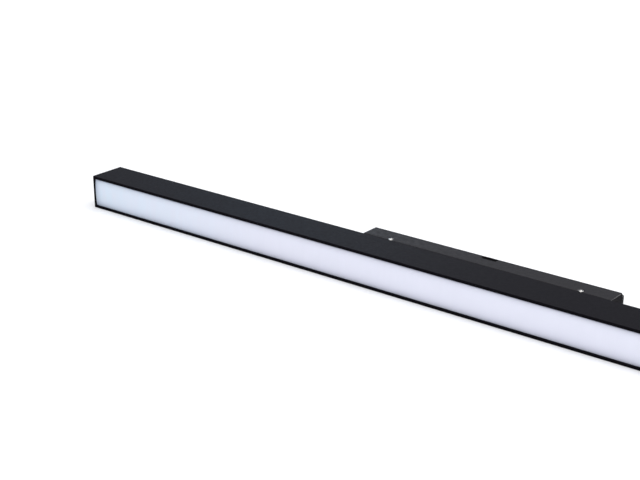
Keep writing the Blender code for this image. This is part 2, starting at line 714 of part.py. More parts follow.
def head_block(name, middle, half):
    """A head's moulding: a block for the track's slot, with two snap legs through the shoulder."""
    outline = rounded((middle - half, MID - HEAD_WIDTH / 2), (middle + half, MID + HEAD_WIDTH / 2), 0.0015)
    head = add(name, outline_mesh(name, "Y", [outline], SHOULDER + GAP, HEAD_TOP), "black_plastic")
    soften(head, 0.0006)
    legs = []
    tip, low, high = PLATE_INNER - 0.0012, MID - 0.0030, MID + 0.0030
    for s in (-1, 1):
        x = middle + s * (half - 0.0022)
        near, far = sorted((x, x + s * 0.0022))
        legs.append(((x - 0.0008, tip, low), (x + 0.0008, SHOULDER + 0.002, high)))
        legs.append(((near, tip, low), (far, PLATE_INNER - GAP, high)))
    join(head, name + "_legs", joined_boxes(name + "_legs", legs))
    return head


def joined_boxes(name, boxes):
    """Overlapping boxes made one body."""
    base = add(name + "_base", boxes_mesh(name, boxes[:1]))
    for i, box in enumerate(boxes[1:]):
        join(base, f"{name}_{i}", boxes_mesh(name, [box]))
    return baked_mesh(base)


def lock_head(name, middle):
    head = head_block(name, middle, LOCK_HEAD_HALF)
    reach = WING[0] / 2 + 0.0006
    low, high = WING_LOW - 0.0004, WING_LOW + WING[2] + 0.0004
    slot = [((middle - reach, low, MID - HALF), (middle + reach, high, MID + HALF))]
    cut(head, name + "_slot", boxes_mesh(name + "_slot", slot))
    top = WING_LOW + WING[2] + 0.0026
    bore = rods_mesh(name + "_bore", "Y", [(middle, MID)], 0.0032, SHOULDER - 0.002, top, ROUND_STEPS)
    cut(head, name + "_bore", bore)


def lever_outline(side):
    """Hub, arm and thumb pad of a lever about its own pivot; the arm points outwards and down."""
    hub, width, reach = 0.0060, LEVER_WIDTH / 2, LEVER_REACH
    lean = math.degrees(math.asin(width / hub))
    points = arc((0, 0), hub, lean, 360 - lean, 14)
    points += [(reach - 0.0045, -width), *arc((reach - 0.0008, -width + 0.0008), 0.0008, 270, 360, 2)]
    points += [*arc((reach - 0.0008, width - 0.0008), 0.0008, 0, 90, 2), (reach - 0.0045, width)]
    turn = Matrix.Rotation(math.radians(-135 if side < 0 else -45), 2)
    return [tuple(turn @ Vector(point)) for point in points]


def lock_parts(end, side):
    """One lock: shaft, wing, lever and retaining ring, all about the same axis and in line with the bar."""
    pivot = (side * LOCK_X, 0.0, MID)
    top = WING_LOW + WING[2] + 0.0020
    shaft = [(0, top), (SHAFT_RADIUS - 0.0004, top), (SHAFT_RADIUS, top - 0.0004),
             (SHAFT_RADIUS, SHAFT_END + 0.0004), (SHAFT_RADIUS - 0.0004, SHAFT_END), (0, SHAFT_END)]
    turned(f"lock_shaft_{end}", shaft, "steel", pivot, Y, 16)

    radius = WING[1] / 2
    reach = WING[0] / 2 - radius
    outline = arc((reach, 0), radius, -90, 90, 6) + arc((-reach, 0), radius, 90, 270, 6)
    hole = circle(SHAFT_RADIUS + GAP, steps=16)
    wing = outline_mesh("wing", "Y", [outline, hole], WING_LOW, WING_LOW + WING[2])
    soften(add(f"lock_wing_{end}", wing, "steel", pivot), 0.0003, 1)

    loops = [lever_outline(side), hole]
    lever = outline_mesh("lever", "Y", loops, LEVER_LOW, LEVER_LOW + LEVER_SHEET)
    obj = add(f"lock_lever_{end}", lever, "black_plastic", pivot)
    soften(obj, 0.0003, 1)

    ring = LEVER_LOW - GAP
    profile = [(0.0031, ring), (0.0046, ring), (0.0046, ring - 0.0008), (0.0031, ring - 0.0008)]
    turned(f"lock_ring_{end}", profile, "steel", pivot, Y, 16, ring=True)


def contact_head():
    head = head_block("contact_head", 0.0, CONTACT_HEAD_HALF)
    reach = BLADE[1] + 0.0006
    slots = []
    for level in BLADE_LEVELS:
        low, high = level - 0.0005, level + BLADE[3] + 0.0005
        slots.append(((-reach, low, MID - HALF), (reach, high, MID + HALF)))
    cut(head, "blade_slots", boxes_mesh("blade_slots", slots))
    bore = (TURRET_RADIUS + 0.0004, SHOULDER - 0.002, HEAD_TOP - 0.0014, ROUND_STEPS)
    cut(head, "turret_bore", rods_mesh("turret_bore", "Y", [(0, MID)], *bore))
    sides = []
    for s in (-1, 1):
        z0, z1 = sorted((MID + s * (HEAD_WIDTH / 2 - 0.0010), MID + s * HALF))
        sides.append(((EARTH_X - 0.0024, SHOULDER - 0.001, z0), (EARTH_X + 0.0024, SHOULDER + 0.0125, z1)))
    cut(head, "earth_grooves", boxes_mesh("earth_grooves", sides))


def contact_turret():
    """The turning core of the contact head; its stub carries the wheel and the two slip rings."""
    base = PLATE_INNER
    top = HEAD_TOP - 0.0017
    profile = [(0, top), (TURRET_RADIUS - 0.0004, top), (TURRET_RADIUS, top - 0.0004), (TURRET_RADIUS, base),
               (STUB_RADIUS, base), (STUB_RADIUS, STUB_END), (0, STUB_END)]
    turret = turned("contact_turret", profile, "white_plastic", (0, 0, MID), Y, ROUND_STEPS)
    pockets = []
    for level, side in zip(BLADE_LEVELS, (-1, 1)):
        near, far = sorted((side * (BLADE[0] - GAP), side * (TURRET_RADIUS + 0.001)))
        half = BLADE[2] / 2 + GAP
        pockets.append(((near, level - GAP, MID - half), (far, level + BLADE[3] + GAP, MID + half)))
    cut(turret, "blade_pockets", boxes_mesh("blade_pockets", pockets))


def contact_blade(name, level, side):
    """A round-nosed blade that reaches out of the turret."""
    root, tip, width, sheet = BLADE
    nose = width / 2
    outline = [(root, nose), (root, -nose), *arc((tip - nose, 0), nose, -90, 90, 6)]
    outline = [(side * x, z) for x, z in outline]
    add(name, outline_mesh(name, "Y", [outline], level, level + sheet), "copper_alloy", (0, 0, MID))


def selector_wheel():
    """The knurled thumb wheel, whose rim shows in the windows of both side walls."""
    points = []
    for i in range(WHEEL_TEETH):
        for share, radius in ((0.0, WHEEL_RADIUS), (0.5, WHEEL_RADIUS - 0.0006)):
            angle = 2 * math.pi * (i + share) / WHEEL_TEETH
            points.append((radius * math.cos(angle), radius * math.sin(angle)))
    loops = [points, circle(STUB_RADIUS + GAP, steps=16)]
    mesh = outline_mesh("selector_wheel", "Y", loops, WHEEL_LOW, WHEEL_LOW + WHEEL_SHEET)
    add("selector_wheel", mesh, "black_plastic", (0, 0, MID))


def slip_ring(name, level):
    inner, outer, height = RING
    profile = [(inner, level + height), (outer, level + height), (outer, level), (inner, level)]
    turned(name, profile, "copper_alloy", (0, 0, MID), Y, ROUND_STEPS, ring=True)


def wiper(name, level, side):
    """A spring strip that stands on the board and bears on a slip ring."""
    touch = RING[1] + GAP + 0.0002
    middle = level + RING[2] / 2
    points = [(0.0140, SEAT + 0.0002), (0.0096, SEAT + 0.0002), (0.0082, SEAT + 0.0012),
              (0.0074, SEAT + 0.0040), (touch + 0.0006, middle - 0.0014), (touch, middle),
              (touch + 0.0007, middle + 0.0010)]
    outline = [(side * x, y) for x, y in ribbon(points, 0.0003)]
    add(name, outline_mesh(name, "Z", [outline], MID - 0.0014, MID + 0.0014), "copper_alloy")


def earth_spring(name, side):
    """A sprung strip on the side of the contact head that bears on the track's body."""
    near = HEAD_WIDTH / 2 - 0.0004
    points = [(PLATE_INNER - 0.0020, near + 0.0010), (SHOULDER + 0.0010, near + 0.0010),
              (SHOULDER + 0.0040, near + 0.0012), (SHOULDER + 0.0070, near + 0.0017),
              (SHOULDER + 0.0095, near + 0.0011), (SHOULDER + 0.0115, near)]
    outline = [(y, MID + side * z) for y, z in ribbon(points, 0.0004)]
    add(name, outline_mesh(name, "X", [outline], EARTH_X - 0.0019, EARTH_X + 0.0019), "nickel")


def earth_lead():
    foot = MID + HEAD_WIDTH / 2 + 0.0006 - 0.0014
    route = [
        (EARTH_X - 0.0010, PLATE_INNER - 0.0016, foot),
        (EARTH_X - 0.0080, PLATE_INNER - 0.0024, foot - 0.0010),
        (-0.0420, SEAT + 0.0100, MID + 0.0010),
        (-0.0580, SEAT + 0.0106, MID - 0.0002),
        (-0.0680, SEAT + 0.0070, MID + 0.0030),
        (-0.0725, SEAT + 0.0026, MID + 0.0075),
        (-0.0750, TRAY_TOP + 0.0032, MID + 0.0084),
        (-0.0780, TRAY_TOP + 0.0026, MID + 0.0084),
    ]
    wire("earth_lead", route, LEAD_RADIUS, "lead_earth")


def track_heads():
    for side, end in ((-1, "left"), (1, "right")):
        lock_head(f"lock_head_{end}", side * LOCK_X)
        lock_parts(end, side)
    contact_head()
    contact_turret()
    selector_wheel()
    for name, level, blade_level, side in (("neutral", RING_LEVELS[0], BLADE_LEVELS[0], -1),
                                           ("live", RING_LEVELS[1], BLADE_LEVELS[1], 1)):
        contact_blade(f"{name}_contact", blade_level, side)
        slip_ring(f"{name}_slip_ring", level)
        wiper(f"{name}_wiper", level, side)
    earth_spring("earth_spring_upper", 1)
    earth_spring("earth_spring_lower", -1)
    earth_lead()


bar_profile()
opal_diffuser()
end_caps()
light_source()
driver_housing()
housing_screws()
gear_tray()
tray_screws()
lead_grommet()
led_leads()
driver()
track_heads()
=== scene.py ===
"""Looks of the linear track luminaire: a black bar with an opal front and a driver box for lighting track.

The bar lies along X, its opal face looks towards -Y, the track is on the +Y side and Z is the bar's width.
Lengths are in metres.
"""

import json
import math

import bmesh
import bpy
from mathutils import Matrix, Vector


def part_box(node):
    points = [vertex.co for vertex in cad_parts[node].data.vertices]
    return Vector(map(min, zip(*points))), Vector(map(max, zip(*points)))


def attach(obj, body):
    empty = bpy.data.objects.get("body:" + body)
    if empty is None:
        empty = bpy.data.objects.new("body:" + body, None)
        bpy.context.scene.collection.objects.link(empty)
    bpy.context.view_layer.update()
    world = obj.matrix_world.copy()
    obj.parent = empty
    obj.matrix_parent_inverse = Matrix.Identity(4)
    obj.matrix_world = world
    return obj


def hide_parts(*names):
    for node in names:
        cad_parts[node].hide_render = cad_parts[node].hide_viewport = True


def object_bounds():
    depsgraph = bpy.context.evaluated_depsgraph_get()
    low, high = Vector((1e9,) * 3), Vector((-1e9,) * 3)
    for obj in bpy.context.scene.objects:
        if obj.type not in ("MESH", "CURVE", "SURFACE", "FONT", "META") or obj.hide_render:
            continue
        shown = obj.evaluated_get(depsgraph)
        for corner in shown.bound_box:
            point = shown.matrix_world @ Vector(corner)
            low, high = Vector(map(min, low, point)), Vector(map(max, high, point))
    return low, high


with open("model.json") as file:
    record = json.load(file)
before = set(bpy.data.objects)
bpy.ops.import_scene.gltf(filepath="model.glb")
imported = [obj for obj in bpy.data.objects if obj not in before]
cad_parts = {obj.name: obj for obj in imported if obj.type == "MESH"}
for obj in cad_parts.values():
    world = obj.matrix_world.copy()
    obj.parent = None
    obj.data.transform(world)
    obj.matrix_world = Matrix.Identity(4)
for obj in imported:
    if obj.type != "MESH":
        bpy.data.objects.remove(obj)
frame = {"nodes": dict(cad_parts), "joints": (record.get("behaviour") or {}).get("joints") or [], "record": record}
CAD_BOX = [list(corner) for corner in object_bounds()]


def centre(node):
    """The middle of a CAD node's box."""
    return sum(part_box(node), Vector()) / 2


X, Y, Z = Vector((1, 0, 0)), Vector((0, 1, 0)), Vector((0, 0, 1))
AXES = {"X": (Y, Z, X), "Y": (X, Z, Y), "Z": (X, Y, Z)}
WAYS = (-1, 1)
ENDS = ((-1, "left"), (1, "right"))
ROWS = ((-1, "lower"), (1, "upper"))
POLES = ((-1, "neutral"), (1, "live"))

# Levels and places read from the frame
LOW, HIGH = (Vector(corner) for corner in CAD_BOX)
MID = (LOW.z + HIGH.z) / 2
HALF = (HIGH.z - LOW.z) / 2
BAR_LOW, BAR_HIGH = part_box("bar_profile")
CASE_LOW, CASE_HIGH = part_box("driver_housing")
OPAL_LOW, OPAL_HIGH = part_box("opal_diffuser")
SHOULDER = CASE_HIGH.y
HEAD_TOP = HIGH.y
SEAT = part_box("rectifier")[0].y
PIVOTS = {joint["child"]: Vector(joint["pos_m"]) for joint in frame["joints"]}
LOCK_X = abs(PIVOTS["lock_right"].x)
TRAY_HOLES = [(centre(f"tray_screw_{end}_{row}").x, MID) for _, end in ENDS for row in ("inner", "outer")]
LEAD_HOLE = [(centre("lead_grommet").x, MID)]
SLOTS = {part["node"]: part["material_slot"] for part in frame["record"]["subparts"]}
BODIES = {node: body for body, nodes in frame["record"]["behaviour"]["bodies"].items() for node in nodes}

# Sizes shared by several pieces
GAP = 0.0003
WALL = 0.0018
RIM = 0.0029
PLATE = 0.0020
PLATE_INNER = SHOULDER - PLATE
SHEET = 0.0012
LEAD_BORE = 0.0042
SHAFT_BORE = 0.0032
SHAFT = 0.0031
TURRET_BORE = 0.0059
LEG_INSET = 0.0022
PAST = 0.001            # how far a cutter reaches past what it cuts
ROUND = 48              # steps round a turned piece
SQUARE = 0.985          # a face that is turned further than this from every axis counts as a rubbed edge


def linked(name, data):
    obj = bpy.data.objects.new(name, data)
    bpy.context.scene.collection.objects.link(obj)
    return obj


# -------- camera, light and floor

WHITE = (1.0, 1.0, 1.0)
CAMERA_PLACE = LOW + Vector((1.0443, -0.9319, 0.4895))
CAMERA_GAZE = Vector((-0.5794, 0.7326, -0.3572))

# Round lights that look at the origin: place, size, power and colour
LAMPS = {
    "key": ((0.9, -2.6, 1.5), 2.2, 17.0, WHITE),
    "back": ((1.6, 2.6, 1.0), 1.6, 40.0, WHITE),
    "sheen": ((-1.90, 1.98, 1.10), 0.55, 1.0, (0.40, 0.70, 1.0)),
    "glint": ((-1.65, 2.15, 1.10), 0.30, 0.35, WHITE),
}


def camera():
    """Looks along the bar from in front of its right end, which is outside the picture, and from above."""
    data = bpy.data.cameras.new("camera")
    data.sensor_width = 36.0
    data.lens = 77.0
    data.clip_end = 50.0
    obj = linked("camera", data)
    obj.location = CAMERA_PLACE
    obj.rotation_euler = CAMERA_GAZE.to_track_quat("-Z", "Y").to_euler()
    bpy.context.scene.camera = obj


def two_way(tree, ray, usual, seen):
    """A mix of two shaders: the second is what rays of the named kind meet."""
    path, mix = tree.nodes.new("ShaderNodeLightPath"), tree.nodes.new("ShaderNodeMixShader")
    tree.links.new(path.outputs[ray], mix.inputs["Fac"])
    tree.links.new(usual.outputs[0], mix.inputs[1])
    tree.links.new(seen.outputs[0], mix.inputs[2])
    return mix.outputs[0]


def surroundings():
    """A white sky that reflections meet as dim blue, soft lights, and a white floor they meet as dark."""
    world = bpy.data.worlds.new("studio")
    bpy.context.scene.world = world
    world.use_nodes = True
    tree = world.node_tree
    tree.nodes.clear()
    shown, felt = tree.nodes.new("ShaderNodeBackground"), tree.nodes.new("ShaderNodeBackground")
    shown.inputs["Color"].default_value = (*WHITE, 1.0)
    felt.inputs["Color"].default_value = (0.88, 0.91, 1.0, 1.0)
    felt.inputs["Strength"].default_value = 0.36
    out = tree.nodes.new("ShaderNodeOutputWorld")
    tree.links.new(two_way(tree, "Is Camera Ray", felt, shown), out.inputs["Surface"])
    sun = bpy.data.lights.new("top", "SUN")
    sun.energy = 2.35
    sun.angle = math.radians(70.0)
    linked("top", sun)
    for name, (place, size, power, colour) in LAMPS.items():
        data = bpy.data.lights.new(name, "AREA")
        data.shape = "DISK"
        data.size = size
        data.energy = power
        data.color = colour
        lamp = linked(name, data)
        lamp.location = place
        lamp.rotation_euler = (-Vector(place)).to_track_quat("-Z", "Y").to_euler()

    bpy.ops.mesh.primitive_plane_add(size=14.0, location=(0.0, 0.0, LOW.z))
    floor = bpy.context.object
    floor.name = "floor"
    paint = bpy.data.materials.new("floor_paint")
    paint.use_nodes = True
    tree = paint.node_tree
    pale = tree.nodes["Principled BSDF"]
    pale.inputs["Base Color"].default_value = (0.94, 0.94, 0.94, 1.0)
    pale.inputs["Roughness"].default_value = 0.9
    pale.inputs["Specular IOR Level"].default_value = 0.1
    dark = tree.nodes.new("ShaderNodeBsdfDiffuse")
    dark.inputs["Color"].default_value = (0.10, 0.10, 0.11, 1.0)
    mixed = two_way(tree, "Is Glossy Ray", pale, dark)
    tree.links.new(mixed, tree.nodes["Material Output"].inputs["Surface"])
    floor.data.materials.append(paint)
    bpy.context.scene.view_settings.view_transform = "Standard"


# -------- materials

EVEN = (1.0, 1.0, 1.0)
ALONG = (4.0, 1.0, 1.0)
DUST = (0.35, 0.34, 0.32, 1.0)


class Finish:
    """A material whose colour, roughness and relief come from patterns in the piece's own space."""

    def __init__(self, name, colour, **fixed):
        self.material = bpy.data.materials.new(name)
        self.material.use_nodes = True
        self.tree = self.material.node_tree
        self.shader = self.tree.nodes["Principled BSDF"]
        self.base = self.colour = (*colour, 1.0)
        self.roughness = self.relief = None
        for label, value in fixed.items():
            self.shader.inputs[label.replace("_", " ")].default_value = value
        self.space = self.node("ShaderNodeTexCoord").outputs["Object"]

    def node(self, kind, inputs=(), **settings):
        made = self.tree.nodes.new(kind)
        for label, value in settings.items():
            setattr(made, label, value)
        for label, value in dict(inputs).items():
            self.feed(made.inputs[label], value)
        return made

    def feed(self, socket, value):
        if isinstance(value, bpy.types.NodeSocket):
            self.tree.links.new(value, socket)
        else:
            socket.default_value = value

    def noise(self, size, detail=2.0, stretch=EVEN):
        """Blotches about size across, drawn out by stretch, as a value round 0.5."""
        scale = [1.0 / (size * share) for share in stretch]
        space = self.node("ShaderNodeMapping", {"Vector": self.space, "Scale": scale}).outputs[0]
        inputs = {"Vector": space, "Scale": 1.0, "Detail": detail}
        return self.node("ShaderNodeTexNoise", inputs).outputs["Fac"]

    def cells(self, size, output="Distance", feature="SMOOTH_F1"):
        inputs = {"Vector": self.space, "Scale": 1.0 / size}
        return self.node("ShaderNodeTexVoronoi", inputs, feature=feature).outputs[output]

    def stripes(self, size):
        inputs = {"Vector": self.space, "Scale": 1.0 / (size * math.pi)}
        return self.node("ShaderNodeTexWave", inputs, bands_direction="DIAGONAL").outputs["Fac"]

    def part(self, axis):
        return self.node("ShaderNodeSeparateXYZ", {"Vector": self.space}).outputs[axis]

    def spread(self, value, low, high, start=0.35, end=0.65):
        inputs = {"Value": value, "From Min": start, "From Max": end, "To Min": low, "To Max": high}
        return self.node("ShaderNodeMapRange", inputs).outputs["Result"]

    def patches(self, size, low=0.0, high=1.0, detail=4.0, stretch=EVEN, start=0.35, end=0.65):
        """Noise between two values."""
        return self.spread(self.noise(size, detail, stretch), low, high, start, end)

    def maths(self, kind, first, second):
        made = self.node("ShaderNodeMath", operation=kind)
        self.feed(made.inputs[0], first)
        self.feed(made.inputs[1], second)
        return made.outputs[0]

    def blend(self, share, first, second):
        made = self.node("ShaderNodeMix", data_type="RGBA")
        for index, value in ((0, share), (6, first), (7, second)):
            self.feed(made.inputs[index], value)
        return made.outputs[2]

    def tone(self, share):
        """The base colour, brighter or darker."""
        return (*(min(1.0, channel * share) for channel in self.base[:3]), 1.0)

    def tint(self, share, colour):
        self.colour = self.blend(share, self.colour, colour)

    def fade(self, axis, edge, reach, share, colour):
        """Tints towards a colour at an edge and less away from it, upwards where the reach is positive."""
        away = self.maths("MULTIPLY", self.maths("SUBTRACT", self.part(axis), edge), -1 / reach)
        self.tint(self.maths("MULTIPLY", self.maths("POWER", math.e, away), share), colour)

    def worn(self, share=1.0):
        """The share on rounded edges, where the noise lets it through, and 0 on flats."""
        edge = self.node("ShaderNodeAttribute", attribute_name="wear").outputs["Fac"]
        return self.maths("MULTIPLY", edge, self.patches(0.004, 0.0, share, start=0.42, end=0.62))

    def emboss(self, height, depth):
        inputs = {"Height": height, "Distance": depth}
        if self.relief is not None:
            inputs["Normal"] = self.relief
        self.relief = self.node("ShaderNodeBump", inputs).outputs["Normal"]

    def done(self):
        self.feed(self.shader.inputs["Base Color"], self.colour)
        self.feed(self.shader.inputs["Roughness"], self.roughness)
        self.feed(self.shader.inputs["Normal"], self.relief)
        return self.material


def coated(name, colour, specular):
    """Fine powder coat: a tight orange peel with speckles, rubbed a little paler on the edges."""
    made = Finish(name, colour, Specular_IOR_Level=specular)
    mottle = made.patches(0.0011, detail=3.0)
    made.colour = made.blend(mottle, made.tone(0.80), made.tone(1.25))
    cloud = made.patches(0.06, detail=3.0, stretch=(3.0, 1.0, 1.0))
    made.tint(cloud, made.blend(mottle, made.tone(0.92), made.tone(1.12)))
    made.tint(made.worn(0.6), made.tone(3.2))
    made.roughness = made.patches(0.0024, 0.43, 0.49)
    made.emboss(made.noise(0.00055), 0.00005)
    made.emboss(made.noise(0.0030), 0.000015)
    return made.done()


def moulded(name, colour, gloss=0.48, grain=0.00035, specular=0.3):
    """Moulded plastic with a spark-eroded grain, faint flow lines and edges polished by handling."""
    made = Finish(name, colour, Specular_IOR_Level=specular)
    shift = 0.12 if max(colour) < 0.1 else 0.03
    made.colour = made.blend(made.patches(0.030, stretch=ALONG), made.tone(1 - shift), made.tone(1 + shift))
    made.tint(made.patches(0.0009, high=0.35, detail=2.0), made.tone(1 + 4 * shift))
    made.tint(made.worn(0.5), made.tone(2.2))
    made.roughness = made.patches(0.0050, gloss - 0.06, gloss + 0.08, 5.0)
    made.emboss(made.cells(grain), 0.00004)
    made.emboss(made.noise(0.0060), 0.00006)
    return made.done()


def opal(name, colour):
    """Opal front: satin, with painted light that grows bluer and dimmer towards its left end, and painted shade
    along both rims and at the left end itself.
    """
    made = Finish(name, colour, Specular_IOR_Level=0.25, Subsurface_Weight=0.15, Subsurface_Scale=0.002,
                  Subsurface_Radius=(0.6, 0.6, 0.6))
    # Painted light: over the left 240 mm the colour grows bluer and a little dimmer, as the light falls off
    # towards that end.
    along = made.spread(made.part("X"), 0.0, 1.0, OPAL_LOW.x, OPAL_LOW.x + 0.24)
    made.colour = made.blend(along, (colour[0] * 0.90, colour[1] * 1.005, 1.0, 1.0), made.base)
    made.tint(made.patches(0.012, high=0.35, detail=5.0, stretch=(0.6, 1.0, 2.5)), made.tone(0.965))
    # Painted shade: darker bands along the top and bottom rims, where the rims shade the opal.
    rim, painted_rim_shade = 0.0007, (0.02, 0.03, 0.06, 1.0)
    made.fade("Z", OPAL_HIGH.z - rim, -0.00185, 0.62, painted_rim_shade)
    made.fade("Z", OPAL_LOW.z + rim, 0.0032, 0.68, painted_rim_shade)
    # Painted shade at the left end of the opal, next to the cap.
    made.fade("X", OPAL_LOW.x, 0.004, 0.45, (0.05, 0.07, 0.12, 1.0))
    made.roughness = made.patches(0.004, 0.38, 0.48)
    made.emboss(made.noise(0.0007), 0.00002)
    made.emboss(made.noise(0.05, stretch=ALONG), 0.0003)
    return made.done()


def metal(name, colour, gloss, grain=0.0004, draw=EVEN, stain=(0.30, 0.27, 0.23)):
    """Bare or plated metal with tool marks drawn out along one way, dull spots and brighter rubbed edges."""
    made = Finish(name, colour, Metallic=1.0)
    marks = made.noise(grain, 4.0, draw)
    made.tint(made.patches(0.004, high=0.40, detail=5.0, start=0.5, end=0.75), (*stain, 1.0))
    made.tint(made.spread(marks, 0.0, 0.25), made.tone(0.70))
    made.tint(made.worn(), made.tone(1.15))
    made.roughness = made.patches(0.0015, gloss - 0.05, gloss + 0.12)
    made.emboss(marks, 0.00002)
    return made.done()


def spangled(name, colour):
    """Zinc plated sheet with crystals of slightly different brightness and roughness."""
    made = Finish(name, colour, Metallic=1.0)
    crystal = made.cells(1 / 260, "Color", "F1")
    made.tint(made.spread(crystal, 0.0, 0.6, 0.0, 1.0), made.tone(0.72))
    made.roughness = made.spread(crystal, 0.26, 0.46, 0.0, 1.0)
    made.emboss(made.noise(0.0012, 4.0), 0.00002)
    return made.done()


def insulated(name, colour, stripe=None):
    """Soft insulation, matt where it is dusty, with a stripe in the earth lead's."""
    made = Finish(name, colour, Specular_IOR_Level=0.4)
    if stripe is not None:
        made.tint(made.spread(made.stripes(0.0045), 0.0, 1.0, 0.46, 0.54), (*stripe, 1.0))
    made.tint(made.patches(0.003, high=0.30), DUST)
    made.roughness = made.patches(0.002, 0.36, 0.55)
    made.emboss(made.noise(0.0008, 3.0), 0.00003)
    return made.done()


def circuit(name, colour, copper, run, pitch):
    """Solder resist over long copper tracks and few links, which stand proud and show paler through it."""
    made = Finish(name, colour, Coat_Weight=0.4, Coat_Roughness=0.12)
    inputs = {"Vector": made.space, "Rotation": (math.pi / 2, 0.0, 0.0)}
    flat = made.node("ShaderNodeMapping", inputs).outputs[0]
    inputs = {"Vector": flat, "Scale": 1.0 / pitch, "Mortar Size": 0.16, "Mortar Smooth": 0.1,
              "Brick Width": run / pitch, "Row Height": 1.0}
    tracks = made.node("ShaderNodeTexBrick", inputs, offset=0.37, offset_frequency=3, squash=0.6,
                       squash_frequency=4).outputs["Fac"]
    made.tint(tracks, (*copper, 1.0))
    made.tint(made.patches(0.006, high=0.3), made.tone(0.7))
    made.roughness = made.patches(0.002, 0.22, 0.38)
    made.emboss(tracks, 0.00004)
    return made.done()


def sleeved(name, colour, gloss, fleck=0.0016):
    """Shrink sleeve, lacquer, tape or film: glossy, faintly wrinkled, with dull handling marks."""
    made = Finish(name, colour, Coat_Weight=0.25, Coat_Roughness=0.15)
    made.colour = made.blend(made.patches(fleck), made.tone(0.82), made.tone(1.12))
    made.roughness = made.patches(fleck * 2, gloss - 0.06, gloss + 0.12)
    made.emboss(made.noise(fleck, 3.0, (1.0, 1.0, 3.0)), 0.00004)
    return made.done()


def sintered(name, colour):
    """Ferrite and moulded packages: dull and granular, with paler ground edges."""
    made = Finish(name, colour, Specular_IOR_Level=0.35)
    made.colour = made.blend(made.patches(0.0005, detail=5.0), made.tone(0.6), made.tone(1.5))
    made.tint(made.worn(0.7), made.tone(3.0))
    made.roughness = made.patches(0.002, 0.5, 0.72)
    made.emboss(made.noise(0.0004, 4.0), 0.00006)
    return made.done()


# Every slot's finish and base colour, then what its kind takes
MATERIALS = {slot: kind(slot, *looks) for slot, kind, *looks in (
    ("bar_coating", coated, (0.0038, 0.0031, 0.0052), 0.115),
    ("opal", opal, (0.865, 0.875, 0.985)),
    ("cap_plastic", moulded, (0.0040, 0.0034, 0.0052), 0.5, 0.0004, 0.115),
    ("housing_plastic", moulded, (0.0119, 0.0106, 0.0124), 0.46, 0.0004),
    ("head_plastic", moulded, (0.022, 0.022, 0.023), 0.5),
    ("lever_plastic", moulded, (0.026, 0.026, 0.027), 0.38, 0.00025),
    # The wheel's plastic is made almost black as painted shade, so its window in the box's side reads as a dark
    # slot.
    ("wheel_plastic", moulded, (0.0035, 0.0035, 0.0037), 0.5, 0.00025, 0.10),
    ("turret_plastic", moulded, (0.74, 0.73, 0.69), 0.42, 0.0003),
    ("white_plastic", moulded, (0.78, 0.77, 0.73), 0.45, 0.0003),
    ("terminal_green", moulded, (0.04, 0.26, 0.10), 0.42, 0.0003),
    ("component_black", sintered, (0.018, 0.018, 0.018)),
    ("ferrite", sintered, (0.045, 0.045, 0.050)),
    ("steel", metal, (0.60, 0.60, 0.61), 0.28, 0.0004, (1.0, 8.0, 1.0)),
    ("zinc", metal, (0.58, 0.59, 0.61), 0.40, 0.0009),
    ("tray_steel", spangled, (0.62, 0.63, 0.65)),
    ("screw_steel", metal, (0.16, 0.16, 0.17), 0.34),
    ("screw_nickel", metal, (0.86, 0.84, 0.80), 0.16),
    ("nickel", metal, (0.74, 0.72, 0.68), 0.22, 0.0004, (1.0, 10.0, 1.0)),
    ("copper_alloy", metal, (0.78, 0.55, 0.27), 0.26, 0.0004, (8.0, 1.0, 1.0), (0.25, 0.13, 0.07)),
    ("lead_earth", insulated, (0.10, 0.32, 0.03), (0.80, 0.68, 0.03)),
    ("lead_black", insulated, (0.015, 0.015, 0.016)),
    ("lead_red", insulated, (0.48, 0.02, 0.015)),
    ("grommet_rubber", insulated, (0.02, 0.02, 0.021)),
    ("film", sleeved, (0.80, 0.77, 0.62), 0.30),
    ("film_capacitor_box", sleeved, (0.72, 0.50, 0.06), 0.26),
    ("capacitor_sleeve", sleeved, (0.012, 0.02, 0.055), 0.22),
    ("winding_tape", sleeved, (0.68, 0.44, 0.04), 0.25, 0.0008),
    ("board_green", circuit, (0.012, 0.10, 0.035), (0.03, 0.19, 0.07), 0.017, 0.0017),
    ("board_white", circuit, (0.76, 0.76, 0.74), (0.64, 0.63, 0.59), 0.060, 0.0041),
)}


# -------- building blocks

def to_mesh(shape):
    bmesh.ops.recalc_face_normals(shape, faces=shape.faces)
    mesh = bpy.data.meshes.new("mesh")
    shape.to_mesh(mesh)
    shape.free()
    return mesh


def loft(rings, wrap=False):
    """A closed skin over rings of points. One point is a pole, and wrap joins the last ring to the first."""
    shape = bmesh.new()
    made = [[shape.verts.new(point) for point in ring] for ring in rings]
    pairs = list(zip(made, made[1:]))
    if wrap:
        pairs.append((made[-1], made[0]))
    for lower, upper in pairs:
        count = max(len(lower), len(upper))
        for i in range(count):
            j = (i + 1) % count
            corners = [ring[k % len(ring)] for ring, k in ((lower, i), (lower, j), (upper, j), (upper, i))]
            shape.faces.new(dict.fromkeys(corners))
    if not wrap:
        for ring in (made[0], made[-1]):
            if len(ring) > 2:
                shape.faces.new(ring)
    return to_mesh(shape)


def prism(axis, outline, low, high):
    first, second, along = AXES[axis]
    return loft([[first * a + second * b + along * level for a, b in outline] for level in (low, high)])


def block(low, high):
    outline = [(low[0], low[2]), (high[0], low[2]), (high[0], high[2]), (low[0], high[2])]
    return prism("Y", outline, low[1], high[1])


def circle(radius, height, steps):
    """A ring of points about Z, or the one point of a pole."""
    if radius == 0:
        return [(0.0, 0.0, height)]
    angles = [math.tau * i / steps for i in range(steps)]
    return [(radius * math.cos(a), radius * math.sin(a), height) for a in angles]


def turned(profile, steps=ROUND, ring=False):
    """A profile of (radius, height) points turned about Z."""
    return loft([circle(radius, height, steps) for radius, height in profile], ring)


def disc(radius, top, foot):
    """The profile of a plain round plug."""
    return [(0, top), (radius, top), (radius, foot), (0, foot)]


